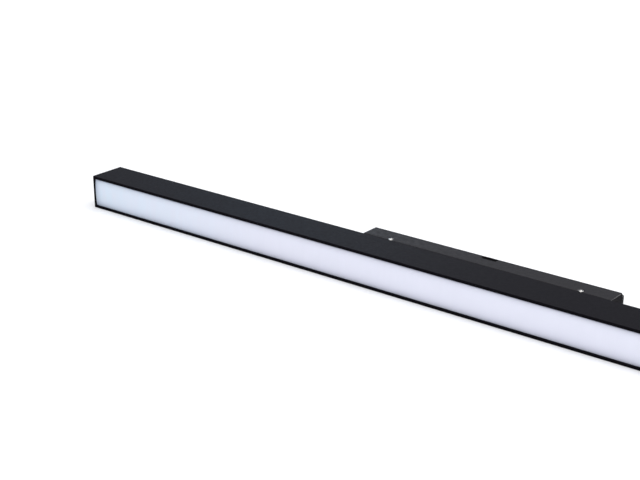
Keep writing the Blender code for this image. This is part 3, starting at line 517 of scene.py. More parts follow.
def sunk(head, shank, slope, foot):
    """The profile of a cutter for a countersunk hole whose mouth is at 0."""
    return [(0.0, 0.0005), (head, 0.0005), (head, -0.0001), (shank, slope), (shank, foot), (0.0, foot)]


def arc(middle, radius, start, end, steps):
    """Points on an arc, with its angles in degrees."""
    angles = [math.radians(start + (end - start) * i / steps) for i in range(steps + 1)]
    return [(middle[0] + radius * math.cos(a), middle[1] + radius * math.sin(a)) for a in angles]


def rounded(low, high, radius, steps=5):
    """A rectangle with round corners."""
    points = []
    for x, y, start in ((1, 1, 0), (0, 1, 90), (0, 0, 180), (1, 0, 270)):
        corner = ((low[0] + radius, high[0] - radius)[x], (low[1] + radius, high[1] - radius)[y])
        points += arc(corner, radius, start, start + 90, steps)
    return points


def mirrored(half):
    """A closed outline in Y and Z from its (y, distance from the middle plane) points on one side."""
    return [(y, MID + h) for y, h in half] + [(y, MID - h) for y, h in reversed(half)]


def soft_levels(low, high, edge_low, edge_high, steps=3):
    """Levels and insets that round both ends of a block."""
    levels = []
    for level, edge, way in ((low, edge_low, 1), (high, edge_high, -1)):
        part = [(level + way * edge * (1 - math.cos(a)), edge * (1 - math.sin(a)))
                for a in (math.pi / 2 * i / steps for i in range(steps + 1))]
        levels += part if way > 0 else part[::-1]
    return levels


def stack(axis, low, high, radius, levels, steps=5):
    """A block of rounded rectangles, each drawn in by its level's inset."""
    first, second, along = AXES[axis]
    rings = []
    for level, inset in levels:
        near, far = [side + inset for side in low], [side - inset for side in high]
        outline = rounded(near, far, max(radius - inset, 0.0001), steps)
        rings.append([first * a + second * b + along * level for a, b in outline])
    return loft(rings)


def slab(axis, low, high, radius, near, far, steps=5):
    """A straight block of one rounded rectangle."""
    return stack(axis, low, high, radius, [(near, 0.0), (far, 0.0)], steps)


def brick(low, high, edge=0.0003, steps=3):
    """A block between two corners, rounded all over."""
    levels = soft_levels(low[1], high[1], edge, edge, steps)
    return stack("Y", (low[0], low[2]), (high[0], high[2]), edge, levels, steps)


def placed(place, along=Z, turn=0.0):
    """The matrix of a thing turned about its own Z, stood along a direction and moved to a place."""
    stand = Z.rotation_difference(Vector(along)).to_matrix().to_4x4()
    return Matrix.Translation(Vector(place)) @ stand @ Matrix.Rotation(turn, 4, "Z")


def moved(mesh, place=(0.0, 0.0, 0.0), along=Z, turn=0.0):
    mesh.transform(placed(place, along, turn))
    return mesh


def drill(axis, spots, radius, low, high, steps=24):
    """One mesh of separate cylinders along an axis."""
    first, second, along = AXES[axis]
    shape = bmesh.new()
    for a, b in spots:
        place = placed(first * a + second * b + along * (low + high) / 2, along)
        bmesh.ops.create_cone(shape, cap_ends=True, segments=steps, radius1=radius, radius2=radius,
                              depth=high - low, matrix=place)
    return to_mesh(shape)


def gathered(meshes):
    """Separate bodies kept in one mesh."""
    shape = bmesh.new()
    for mesh in meshes:
        shape.from_mesh(mesh)
    return to_mesh(shape)


def shaped(mesh, edge=0.0, cuts=(), joins=(), cut_edge=0.0, segments=2, angle=40.0):
    """The mesh with its edges rounded, then joined and cut, then rounded again. Bevels take material 1."""
    body = linked("body", mesh)
    for _ in range(2):
        mesh.materials.append(None)
    helpers = [body]

    def bevel(width):
        step = body.modifiers.new("edge", "BEVEL")
        step.width = width
        step.segments = segments
        step.limit_method = "ANGLE"
        step.angle_limit = math.radians(angle)
        step.use_clamp_overlap = False
        step.material = 1

    if edge:
        bevel(edge)
    for kind, others in (("UNION", joins), ("DIFFERENCE", cuts)):
        for other in others:
            tool = linked("tool", other)
            helpers.append(tool)
            step = body.modifiers.new(kind.lower(), "BOOLEAN")
            step.operation = kind
            step.object = tool
    if cut_edge:
        bevel(cut_edge)
    bpy.context.view_layer.update()
    made = bpy.data.meshes.new_from_object(body.evaluated_get(bpy.context.evaluated_depsgraph_get()))
    for helper in helpers:
        bpy.data.objects.remove(helper, do_unlink=True)
    return made


def piece(name, mesh, *nodes, slot=None, at=(0.0, 0.0, 0.0), along=Z, turn=0.0, sharp=32.0):
    """A shown piece on the body and in the slot of the CAD nodes it stands for, or on the luminaire's body.

    Faces on rounded edges are marked for wear.
    """
    slot = slot or SLOTS[nodes[0]]
    body = BODIES[nodes[0]] if nodes else "luminaire"
    mesh.name = name
    rubbed = [float(face.material_index == 1 or max(map(abs, face.normal)) < SQUARE)
              for face in mesh.polygons]
    mesh.attributes.new("wear", "FLOAT", "FACE").data.foreach_set("value", rubbed)
    for face in mesh.polygons:
        face.material_index = 0
    mesh.materials.clear()
    mesh.materials.append(MATERIALS[slot])
    mesh.shade_smooth()
    mesh.set_sharp_from_angle(angle=math.radians(sharp))
    obj = linked(name, mesh)
    obj.matrix_world = placed(at, along, turn)
    shade = obj.modifiers.new("shade", "WEIGHTED_NORMAL")
    shade.keep_sharp = True
    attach(obj, body)
    if nodes:
        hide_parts(*nodes)
    return obj


# -------- screws

SCREW_STEPS = 24
RINGS_PER_TURN = 6


def thread_rings(crest, core, start, end, pitch):
    """Rings down a threaded shank, from start to end below the head, with a tapered tip."""
    rings = []
    count = round((start - end) / pitch * RINGS_PER_TURN)
    taper, blunt, steepness = crest * 1.2, 0.35, 3.2
    for i in range(count + 1):
        height = start + (end - start) * i / count
        tip = min(1.0, (height - end) / taper + blunt)
        lead = min(1.0, (start - height) / pitch)
        ring = []
        for k in range(SCREW_STEPS):
            turn = (height / pitch + k / SCREW_STEPS) % 1.0
            ridge = max(0.0, 1.0 - abs(turn - 0.5) * steepness) * lead
            radius = (core + (crest - core) * ridge) * tip
            angle = math.tau * k / SCREW_STEPS
            ring.append((radius * math.cos(angle), radius * math.sin(angle), height))
        rings.append(ring)
    return rings


def cross_cutter(reach):
    """The cross of a driver bit, narrowing as it goes in."""
    blade = reach * 0.26
    arm = [(reach, -blade), (reach, blade), (blade * 1.25, blade * 1.25)]
    rings = []
    for level, share in ((0.0006, 1.12), (-reach * 0.75, 0.55)):
        spots = [Matrix.Rotation(turn * math.pi / 2, 2) @ Vector(point) * share
                 for turn in range(4) for point in arm]
        rings.append([(spot.x, spot.y, level) for spot in spots])
    return loft(rings)


def screw(head, crest, core, length, pitch, reach):
    """A threaded screw along -Z. The head's (radius, height) profile runs from its rim down to the shank."""
    crown = 0.00002
    rings = [circle(radius, height, SCREW_STEPS) for radius, height in [(0, head[0][1] + crown), *head]]
    rings += thread_rings(crest, core, head[-1][1] - 0.0002, -length, pitch)
    rings.append(circle(0, -length - crown, SCREW_STEPS))
    return shaped(loft(rings), cuts=[cross_cutter(reach)])


def countersunk(radius, shank):
    """The rim, cone and neck of a countersunk head whose top is at 0."""
    return [(radius - 0.0003, -0.00003), (radius - 0.0001, -0.0001), (radius, -0.00022), (radius, -0.00036),
            (shank, -0.0004 - (radius - shank)), (shank, -0.0006 - (radius - shank))]


def screws():
    """The screws of the caps, the box and the tray, each with its head at the outer end of its CAD node."""
    coarse = {"crest": 0.00145, "core": 0.00112, "pitch": 0.0009}
    fine = {"crest": 0.00125, "core": 0.00095, "pitch": 0.0007}
    cap = screw(countersunk(0.0027, 0.00115), length=0.0098, reach=0.0014, **coarse)
    case = screw(countersunk(0.0023, 0.00095), length=0.0050, reach=0.0012, **fine)
    pan = [(0.0012, 0.0), (0.0020, -0.00012), (0.0025, -0.0005), (0.0027, -0.0010), (0.0027, -0.0017),
           (0.00115, -0.0017), (0.00115, -0.0019)]
    tray_screw = screw(pan, length=0.0074, reach=0.0013, **coarse)
    for side, end in ENDS:
        screwed = []
        for way, row in ROWS:
            screwed += [("end_cap", row, cap, X * side, 0.4 + side * way),
                        ("housing", row, case, Z * way, 0.5 * side)]
        for row, turn in (("inner", 0.3), ("outer", 1.2)):
            screwed.append(("tray", row, tray_screw, Y, turn * side))
        for kind, row, mesh, out, turn in screwed:
            node = f"{kind}_screw_{end}_{row}"
            low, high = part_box(node)
            top = centre(node) + out * abs((high - low).dot(out)) / 2
            piece(f"threaded_{node}", mesh.copy(), node, at=top, along=out, turn=turn)


# -------- the bar

def bar():
    """The extrusion: lips for the opal front, a trough with catches, a web, and a chamber with ports."""
    front, back = BAR_LOW.y, BAR_HIGH.y
    web, inner, lip = front + 0.0172, HALF - WALL, HALF - RIM
    catch = front + 0.0078
    outline = mirrored([
        *arc((back - 0.0008, HALF - 0.0008), 0.0008, 0, 90, 7),
        *arc((front + 0.0005, HALF - 0.0005), 0.0005, 90, 180, 5),
        *arc((front + 0.0003, lip + 0.0003), 0.0003, 180, 270, 3),
        *arc((front + 0.0014, lip + 0.0002), 0.0002, 270, 360, 2),
        (front + 0.0020, inner),
        (catch - 0.0006, inner),
        *arc((catch + 0.0004, inner - 0.0002), 0.0004, 230, 310, 4),
        (catch + 0.0014, inner),
        *arc((web - 0.0006, inner - 0.0006), 0.0006, 90, 0, 4),
    ])
    floor, corner, port_wall = web + WALL, 0.0005, 0.0055
    chamber = mirrored([
        *arc((back - WALL - corner, inner - corner), corner, 0, 90, 3),
        (floor + port_wall, inner),
        (floor + port_wall, inner - port_wall),
        *arc((floor + corner, inner - port_wall - corner), corner, 90, 180, 3),
    ])
    reach = BAR_HIGH.x + PAST
    ports = [(floor + 0.0028, MID + way * 0.0130) for way in WAYS]
    through = (back - 0.004, back + 0.002)
    lead_slot = block((0.1426, web - PAST, MID + 0.0068), (0.1494, floor + PAST, MID + 0.0096))
    cuts = [prism("X", chamber, -reach, reach),
            drill("X", ports, 0.00165, -reach, reach),
            drill("Y", TRAY_HOLES, 0.0016, *through),
            drill("Y", LEAD_HOLE, LEAD_BORE, *through, 32),
            lead_slot]
    mesh = shaped(prism("X", outline, BAR_LOW.x, BAR_HIGH.x), cuts=cuts)
    piece("bar_extrusion", mesh, "bar_profile")


def opal_front():
    """A crowned opal strip with soft edges and two springy legs."""
    front, tip, hook = OPAL_LOW.y, OPAL_HIGH.y, OPAL_HIGH.z - MID
    face, leg, inset, crown, steps = 0.0016, 0.0012, 0.0003, 0.0007, 18
    side = HALF - RIM - GAP
    shares = [i / steps for i in range(steps + 1)]
    outside = [(front + crown * share ** 2, (side - inset) * share) for share in shares]
    inside = [(front + face + crown * share ** 2, (side - leg - 0.0004) * share) for share in shares]
    catch = BAR_LOW.y + 0.0096
    half = [
        *outside[1:],
        *arc((front + crown + inset, side - inset), inset, 180, 90, 4)[1:],
        (catch - 0.0010, side),
        *arc((catch + 0.0002, hook - 0.0003), 0.0003, 150, 45, 4),
        (tip - 0.0002, side - 0.0002),
        (tip, side - 0.0005),
        (tip, side - leg),
        *inside[:0:-1],
    ]
    piece("opal_front", prism("X", mirrored(half), OPAL_LOW.x, OPAL_HIGH.x), "opal_diffuser")


def end_caps():
    """Moulded caps: a plate with a shallow panel and two sunk holes, and a plug for the chamber."""
    thickness, plug_length, play, plug_wall = 0.0035, 0.0040, 0.0004, 0.0015
    chamber = BAR_LOW.y + 0.0249
    for side, end in ENDS:
        low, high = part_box(f"end_cap_{end}")
        outer = side * (HIGH.x - 0.00003)
        near, far = sorted((outer, outer - side * thickness))
        edges = (0.0002, 0.0006) if side > 0 else (0.0006, 0.0002)
        plate = stack("X", (low.y, low.z), (high.y, high.z), 0.0007, soft_levels(near, far, *edges, 4))
        inside = sorted((outer - side * (thickness - play), outer - side * (thickness + plug_length)))
        plug = [(inside[0], chamber, LOW.z + WALL + play),
                (inside[1], high.y - WALL - play, HIGH.z - WALL - play)]
        panel = sorted((outer - side * 0.0002, outer + side * PAST))
        hollow = sorted((inside[0] if side > 0 else inside[1], outer - side * (thickness + 0.005)))
        cuts = [slab("X", (low.y + 0.0030, low.z + 0.0068), (high.y - 0.0030, high.z - 0.0068), 0.0008,
                     *panel),
                block((hollow[0] - 0.0001, plug[0][1] + plug_wall, plug[0][2] + plug_wall),
                      (hollow[1] - 0.0001, plug[1][1] - plug_wall, plug[1][2] - plug_wall))]
        for _, row in ROWS:
            spot = centre(f"end_cap_screw_{end}_{row}")
            hole = turned(sunk(0.0034, 0.0018, -0.0017, -0.0045), 32)
            cuts.append(moved(hole, (outer, spot.y, spot.z), X * side))
        mesh = shaped(plate, joins=[brick(*plug, 0.0004)], cuts=cuts, cut_edge=0.00012, segments=1)
        piece(f"moulded_cap_{end}", mesh, f"end_cap_{end}")


# -------- the light source

def light_boards():
    """Each board with its pads, the chips' white frames and domed phosphor, and the links between boards."""
    chips, pad_reach = 24, 0.0023
    frame_x, frame_z = 0.00175, 0.0014
    dome_x, dome_z = 0.0013, 0.0010
    pad_x, pad_z = 0.0004, 0.0012
    for end in ("left", "centre", "right"):
        node = f"led_board_{end}"
        low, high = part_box(node)
        face = high.y - 0.0015
        pitch = (high.x - low.x) / chips
        frames, domes, pads = [], [], []
        for i in range(chips):
            x = low.x + pitch * (i + 0.5)
            frames.append(brick((x - frame_x, low.y + 0.0001, MID - frame_z),
                                (x + frame_x, face, MID + frame_z), 0.0002))
            domes.append(stack("Y", (x - dome_x, MID - dome_z), (x + dome_x, MID + dome_z), 0.0008,
                               [(low.y, 0.0003), (low.y + 0.00012, 0.0)]))
            for spot in (x - pad_reach, x + pad_reach):
                pads.append(brick((spot - pad_x, face - 0.00012, MID - pad_z),
                                  (spot + pad_x, face + 0.0001, MID + pad_z), 0.0001, 1))
        piece(f"board_{end}", brick((low.x, face, low.z), high, 0.0003), node)
        piece(f"chip_frames_{end}", gathered(frames), slot="white_plastic")
        piece(f"chip_phosphor_{end}", gathered(domes), slot="film_capacitor_box")
        piece(f"solder_pads_{end}", gathered(pads), slot="tray_steel")
    for _, end in ENDS:
        node = f"board_link_{end}"
        low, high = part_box(node)
        mouths = []
        for side in WAYS:
            x = (low.x + high.x) / 2 + side * 0.0042
            for z in (MID - 0.0020, MID + 0.0020):
                mouths.append(brick((x - 0.0016, low.y + 0.0007, z - 0.0009),
                                    (x + 0.0026 * side + 0.0016, low.y + 0.0017, z + 0.0009), 0.0001, 1))
        mesh = shaped(brick(low, high, 0.0004), cuts=mouths, cut_edge=0.0001, segments=1)
        piece(f"board_bridge_{end}", mesh, node)


# -------- the driver box

def driver_box():
    """The moulded box: a fine shadow groove below the shoulder, windows, sunk holes and two label panels."""
    soft, groove, groove_width, groove_depth = 0.00025, SHOULDER - 0.0013, 0.00030, 0.00028
    levels = [(CASE_LOW.y, soft), (CASE_LOW.y + soft, 0.0), (groove - groove_width - 0.00006, 0.0),
              (groove - groove_width, groove_depth), (groove, groove_depth), (groove + 0.00006, 0.0)]
    top_edge = soft_levels(CASE_LOW.y, SHOULDER, 0.0, 0.0005, 4)[5:]
    shell = stack("Y", (CASE_LOW.x, CASE_LOW.z), (CASE_HIGH.x, CASE_HIGH.z), 0.0009, levels + top_edge, 6)
    inner = CASE_HIGH.x - WALL
    hollow = brick((-inner, CASE_LOW.y - 0.002, LOW.z + WALL), (inner, PLATE_INNER, HIGH.z - WALL), 0.0004)
    cuts = [hollow]
    lever_low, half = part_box("lock_lever_left")[0].y, 0.0182
    for side, end in ENDS:
        x = side * LOCK_X
        lever_window = slab("Z", (x - half, lever_low - 0.0006), (x + half, lever_low + 0.0030), 0.0005,
                            LOW.z - PAST, LOW.z + WALL + PAST)
        cuts.append(lever_window)
        for way, row in ROWS:
            spot = centre(f"housing_screw_{end}_{row}")
            screw_hole = turned(sunk(0.0030, 0.0016, -0.0015, -0.0035), 32)
            cuts.append(moved(screw_hole, (spot.x, spot.y, HIGH.z if way > 0 else LOW.z), Z * way))
        low_x, high_x = sorted((side * 0.0315, side * 0.0790))
        label_panel = slab("Y", (low_x, MID - 0.0125), (high_x, MID + 0.0125), 0.0020,
                           SHOULDER - 0.0003, SHOULDER + PAST)
        cuts.append(label_panel)
    wheel_low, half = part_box("selector_wheel")[0].y, 0.0075
    for near, far in ((LOW.z - PAST, LOW.z + WALL + 0.0004), (HIGH.z - WALL - 0.0004, HIGH.z + PAST)):
        wheel_window = slab("Z", (-half, wheel_low - 0.0016), (half, SHOULDER - 0.0008), 0.0006, near, far)
        cuts.append(wheel_window)
    near, far = PLATE_INNER - PAST, SHOULDER + PAST
    shaft_holes = drill("Y", [(-LOCK_X, MID), (LOCK_X, MID)], SHAFT_BORE, near, far, 40)
    turret_hole = drill("Y", [(0.0, MID)], TURRET_BORE, near, far, 40)
    cuts += [shaft_holes, turret_hole]
    for node in ("lock_head_left", "contact_head", "lock_head_right"):
        low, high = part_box(node)
        for x in (low.x + LEG_INSET, high.x - LEG_INSET):
            leg_slot = block((x - 0.0014, near, MID - 0.0034), (x + 0.0014, far, MID + 0.0034))
            cuts.append(leg_slot)
    for way, row in ROWS:
        low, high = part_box(f"earth_spring_{row}")
        z = MID + way * 0.0093
        spring_slot = block((low.x - 0.0005, near, z - 0.0008), (high.x + 0.0005, far, z + 0.0008))
        cuts.append(spring_slot)
    mesh = shaped(shell, cuts=cuts, cut_edge=0.00015, angle=50.0)
    piece("driver_box_shell", mesh, "driver_housing")


def tray():
    """The sheet tray with bent ears, an earth tab and two stiffening beads."""
    low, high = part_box("gear_tray")
    top = low.y + SHEET
    plate = brick(low, (high.x, top, high.z), 0.0002)
    joins, ear_spots, half = [], [], 0.006
    for _, end in ENDS:
        spot = centre(f"housing_screw_{end}_upper")
        ear_spots.append((spot.x, spot.y))
        for z in (low.z, high.z - SHEET):
            ear = slab("Z", (spot.x - half, low.y + 0.0004), (spot.x + half, high.y), 0.0012, z, z + SHEET)
            joins.append(ear)
    for z in (MID - 0.0144, MID + 0.0144):
        bead = brick((-0.070, top - 0.0004, z - 0.0004), (0.070, top + 0.0003, z + 0.0004))
        joins.append(bead)
    tab = brick((-0.0790, top - 0.0006, MID + 0.0096), (-0.0740, top + 0.0042, MID + 0.0104), 0.0002)
    near, far = low.y - PAST, top + PAST
    cuts = [drill("Y", TRAY_HOLES, 0.0018, near, far),
            drill("Y", LEAD_HOLE, LEAD_BORE, near, far, 32),
            drill("Z", ear_spots, 0.0014, low.z - PAST, high.z + PAST)]
    piece("sheet_tray", shaped(plate, joins=[*joins, tab], cuts=cuts), "gear_tray")


# -------- the driver

def component(node, edge, cuts=()):
    piece(f"detailed_{node}", shaped(brick(*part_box(node), edge), cuts=cuts), node)


def lying_can(node):
    """A capacitor in its sleeve: a rolled neck, a scored vent and a bung."""
    low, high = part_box(node)
    radius, half, roll = (high.y - low.y) / 2, (high.x - low.x) / 2, 0.0003
    top, foot = half - roll, roll - half
    profile = [(0, top - 0.0001), (radius * 0.62, top - 0.0001), (radius * 0.72, top), (radius * 0.80, half)]
    profile += arc((radius - roll, top), roll, 90, 0, 4)
    profile += [(radius - inset, level - half) for inset, level in (
        (0, 0.0026), (0.0003, 0.0021), (0.0004, 0.0017), (0.0003, 0.0013), (0, 0.0009), (0.0001, 0.0003),
        (0.0005, 0))]
    profile += [(radius * 0.7, -half), (radius * 0.66, foot), (0, foot)]
    score = []
    for turn in (0.0, math.pi / 3, -math.pi / 3):
        bar_cut = block((-radius * 0.55, -0.00012, half - 0.00055), (radius * 0.55, 0.00012, half))
        score.append(moved(bar_cut, turn=turn))
    mesh = shaped(turned(profile), cuts=score)
    piece(f"detailed_{node}", mesh, node, at=centre(node), along=X)


def boards():
    """The insulation sheet, and the driver's board with its solder joints."""
    low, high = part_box("insulation_sheet")
    tab_slot = block((-0.0800, low.y - PAST, MID + 0.0090), (-0.0730, high.y + PAST, MID + 0.0110))
    sheet = shaped(brick(low, high, 0.00015, 2), cuts=[tab_slot])
    piece("folded_sheet", sheet, "insulation_sheet")

    low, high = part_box("driver_board")
    piece("driver_circuit_board", brick(low, high, 0.0003), "driver_board")
    cone = [(0, 0.00045), (0.0003, 0.00042), (0.0006, 0.0002), (0.0010, 0.0)]
    joints, count, margin, swing = [], 34, 0.0050, 0.0118
    for i in range(count):
        x = low.x + margin + (high.x - low.x - 2 * margin) * i / (count - 1)
        z = MID + swing * math.sin(i * 2.4)
        joints.append(moved(turned(cone, 10), (x, high.y - 0.00003, z), Y))
    piece("solder_joints", gathered(joints), slot="tray_steel")


def choke():
    """A drum core with its winding."""
    low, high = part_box("filter_choke")
    radius, top, turn = (high.x - low.x) / 2, high.y - low.y, 0.00062
    profile = [(0, top), (radius - 0.0003, top), (radius, top - 0.0003), (radius, top - 0.0014),
               (radius - 0.0002, top - 0.0015)]
    for i in range(9):
        level = top - 0.0018 - turn * i
        profile += [(radius - 0.0009, level), (radius - 0.0006, level - turn / 2)]
    profile += [(radius - 0.0002, 0.0014), (radius, 0.0013), (radius, 0.0003), (radius - 0.0003, 0), (0, 0)]
    spot = centre("filter_choke")
    piece("wound_choke", turned(profile), "filter_choke", at=(spot.x, low.y, spot.z), along=Y)


def rectifier():
    """A package with four legs a side and a dot at its first one."""
    low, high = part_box("rectifier")
    legs = []
    for near, far in ((low.z - 0.0008, low.z + 0.0002), (high.z - 0.0002, high.z + 0.0008)):
        for i in range(4):
            x = low.x + 0.0008 + 0.0018 * i
            legs.append(brick((x, low.y, near), (x + 0.0005, low.y + 0.0004, far), 0.0001, 1))
    dot = moved(turned(disc(0.0005, 0.0003, -0.0002), 20), (low.x + 0.0014, high.y, low.z + 0.0014), Y)
    component("rectifier", 0.0003, [dot])
    piece("rectifier_legs", gathered(legs), slot="tray_steel")


def transformer():
    """A taped coil on a ferrite frame whose middle leg goes through it."""
    low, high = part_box("transformer_coil")
    turns, soft = 11, 0.0006
    levels = []
    for i in range(turns):
        level = low.x + 0.0004 + (high.x - low.x - 0.0008) * i / (turns - 1)
        levels += [(level - 0.0003, 0.0002), (level + 0.0003, 0.0)]
    levels = [(low.x, soft), *levels[1:-1], (high.x, soft)]
    coil = stack("X", (low.y, low.z), (high.y, high.z), 0.0014, levels)
    bore = block((low.x - PAST, SEAT + 0.0026, MID - 0.0028), (high.x + PAST, SEAT + 0.0068, MID + 0.0028))
    piece("taped_coil", shaped(coil, cuts=[bore]), "transformer_coil")

    low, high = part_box("transformer_core")
    window = brick((low.x + 0.0034, low.y - PAST, low.z + 0.0027),
                   (high.x - 0.0034, high.y + PAST, high.z - 0.0027), 0.0002)
    leg = brick((low.x + 0.0012, low.y, MID - 0.0025), (high.x - 0.0012, high.y, MID + 0.0025), 0.0002)
    core = shaped(brick(low, high, 0.0004), cuts=[window])
    piece("ferrite_core", gathered([core, leg]), "transformer_core")


def terminal():
    """The output terminal: two mouths, and two wells with slotted screws."""
    low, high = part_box("output_terminal")
    x = (low.x + high.x) / 2 - 0.0012
    head_profile = [(0, 0), (0.0011, 0), (0.0013, -0.0002), (0.0013, -0.0009), (0, -0.0009)]
    cuts, heads = [], []
    for near in (MID + 0.0003, MID + 0.0049):
        far, z = near + 0.0028, near + 0.0014
        mouth = block((high.x - 0.0010, SEAT + 0.0022, near), (high.x + 0.002, SEAT + 0.0050, far))
        well = moved(turned(disc(0.0014, PAST, -0.0012), 24), (x, high.y, z), Y)
        cuts += [mouth, well]
        slit = block((-0.0015, -0.0002, -0.0004), (0.0015, 0.0002, 0.0003))
        heads.append(moved(shaped(turned(head_profile, 24), cuts=[slit]), (x, high.y - 0.0002, z), Y, 0.5))
    component("output_terminal", 0.0003, cuts)
    piece("terminal_screws", gathered(heads), slot="screw_nickel")


def grommet():
    """The rubber ring in the bar's back, with a lip on each side of the sheet."""
    low, high = (corner.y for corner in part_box("lead_grommet"))
    lip, soft, hole, neck = 0.0013, 0.0003, 0.0026, 0.0039
    profile = [(hole + 0.0002, high), (0.0048, high), (0.0053, high - soft), (0.0056, high - lip),
               (neck, high - lip), (neck, low + lip), (0.0054, low + lip), (0.0051, low + soft),
               (0.0046, low), (hole + 0.0002, low), (hole, low + soft), (hole, high - soft)]
    at = (LEAD_HOLE[0][0], 0.0, MID)
    piece("moulded_grommet", turned(profile, ring=True), "lead_grommet", at=at, along=Y)


def driver():
    boards()
    component("film_capacitor", 0.0006)
    lying_can("input_capacitor")
    lying_can("output_capacitor")
    choke()
    rectifier()
    transformer()
    terminal()
    grommet()


def leads():
    """The leads with round insulation, from the frame's coarse tubes."""
    for node in ("led_lead_negative", "led_lead_positive", "earth_lead"):
        shape = bmesh.new()
        shape.from_mesh(frame["nodes"][node].data)
        bmesh.ops.remove_doubles(shape, verts=shape.verts, dist=1e-6)
        bmesh.ops.dissolve_limit(shape, angle_limit=math.radians(1.0), verts=shape.verts, edges=shape.edges)
        bmesh.ops.smooth_vert(shape, verts=shape.verts, factor=0.15,
                              use_axis_x=True, use_axis_y=True, use_axis_z=True)
        obj = piece(f"insulated_{node}", to_mesh(shape), node, sharp=60.0)
        finer = obj.modifiers.new("round", "SUBSURF")
        finer.levels = finer.render_levels = 1


# -------- the track heads

def cored(middle, near, far, width, depth):
    """The two hollows that keep a head's moulding thin, open towards the track."""
    hollows = []
    for way in WAYS:
        low, high = sorted((middle + way * near, middle + way * far))
        hollows.append(stack("Y", (low, MID - width), (high, MID + width), 0.0010,
                             [(HEAD_TOP - depth, 0.0002), (HEAD_TOP + PAST, 0.0)]))
    return hollows


def head(node, flutes, cuts):
    """A head's moulding with two snap legs, rounded shoulders, side flutes and what is cut from it."""
    low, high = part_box(node)
    base = SHOULDER + GAP
    levels = soft_levels(base, HEAD_TOP, 0.0002, 0.0009, 4)
    body = stack("Y", (low.x, low.z), (high.x, high.z), 0.0016, levels, 6)
    for way in WAYS:
        edge = MID + way * (high.z - low.z) / 2
        near, far = sorted((edge - way * 0.00035, edge + way * PAST))
        for y in flutes:
            flute = slab("Z", (low.x + 0.0030, y), (high.x - 0.0030, y + 0.0006), 0.0002, near, far, 2)
            cuts.append(flute)
    legs = []
    foot, half, width, catch = PLATE_INNER - 0.0012, 0.0008, 0.0030, 0.0022
    for way, x in ((-1, low.x + LEG_INSET), (1, high.x - LEG_INSET)):
        near, far = sorted((x, x + way * catch))
        leg = brick((x - half, foot, MID - width), (x + half, base + 0.0015, MID + width), 0.0002)
        hook = brick((near, foot, MID - width), (far, PLATE_INNER - GAP, MID + width), 0.0002)
        legs += [leg, hook]
    mesh = shaped(body, cuts=cuts, cut_edge=0.00015, angle=50.0)
    piece(f"moulded_{node}", gathered([mesh, *legs]), node)


def lock_head(end, middle, wing_low, wing_high):
    """A lock's moulding, with the slot that its wing turns out of."""
    reach, play = (wing_high.x - wing_low.x) / 2 + 0.0006, 0.0004
    wing_slot = slab("Z", (middle - reach, wing_low.y - play), (middle + reach, wing_high.y + play), 0.0004,
                     LOW.z, HIGH.z, 3)
    bore = drill("Y", [(middle, MID)], SHAFT_BORE, SHOULDER - 0.002, wing_high.y + 0.0026, 40)
    cuts = [wing_slot, bore, *cored(middle, 0.0055, 0.0160, 0.0060, 0.0060)]
    head(f"lock_head_{end}", (SHOULDER + 0.0098, SHOULDER + 0.0116, SHOULDER + 0.0134), cuts)


def lock_shaft(end, middle, wing_low, wing_high):
    """A turned shaft with a slit in its top and a groove for its spring ring."""
    low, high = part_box(f"lock_shaft_{end}")
    radius, top, foot, groove = (high.x - low.x) / 2, high.y, low.y, 0.0004
    profile = [(0, top), (radius - 0.0005, top), (radius, top - 0.0005), (radius, wing_high.y + 0.0001),
               (radius, wing_low.y), (radius, foot + 0.0022), (radius - groove, foot + 0.0020),
               (radius - groove, foot + 0.0013), (radius, foot + 0.0011), (radius, foot + 0.0004),
               (radius - 0.0004, foot), (0, foot)]
    slit = block((-radius, -0.0004, top - 0.0008), (radius, 0.0004, top + 0.0005))
    piece(f"turned_shaft_{end}", shaped(turned(profile), cuts=[slit]), f"lock_shaft_{end}",
          at=(middle, 0.0, MID), along=Y)


def lock_wing(end, middle, low, high):
    """A cast bar with round ends and four teeth a side that bite into the track's lips."""
    tip = (high.z - low.z) / 2
    span = (high.x - low.x) / 2 - tip
    outline = arc((middle + span, MID), tip, -90, 90, 20) + arc((middle - span, MID), tip, 90, 270, 20)
    hole = drill("Y", [(middle, MID)], SHAFT, low.y - PAST, high.y + PAST, 32)
    plate = shaped(prism("Y", outline, low.y, high.y), edge=0.0004, cuts=[hole], segments=3)
    teeth = []
    for way in WAYS:
        for i in range(4):
            x = middle + way * (0.0062 + 0.0012 * i)
            teeth.append(brick((x - 0.0003, high.y - 0.0003, MID - 0.0034),
                               (x + 0.0003, high.y + 0.0002, MID + 0.0034), 0.0001, 1))
    piece(f"cast_wing_{end}", gathered([plate, *teeth]), f"lock_wing_{end}")


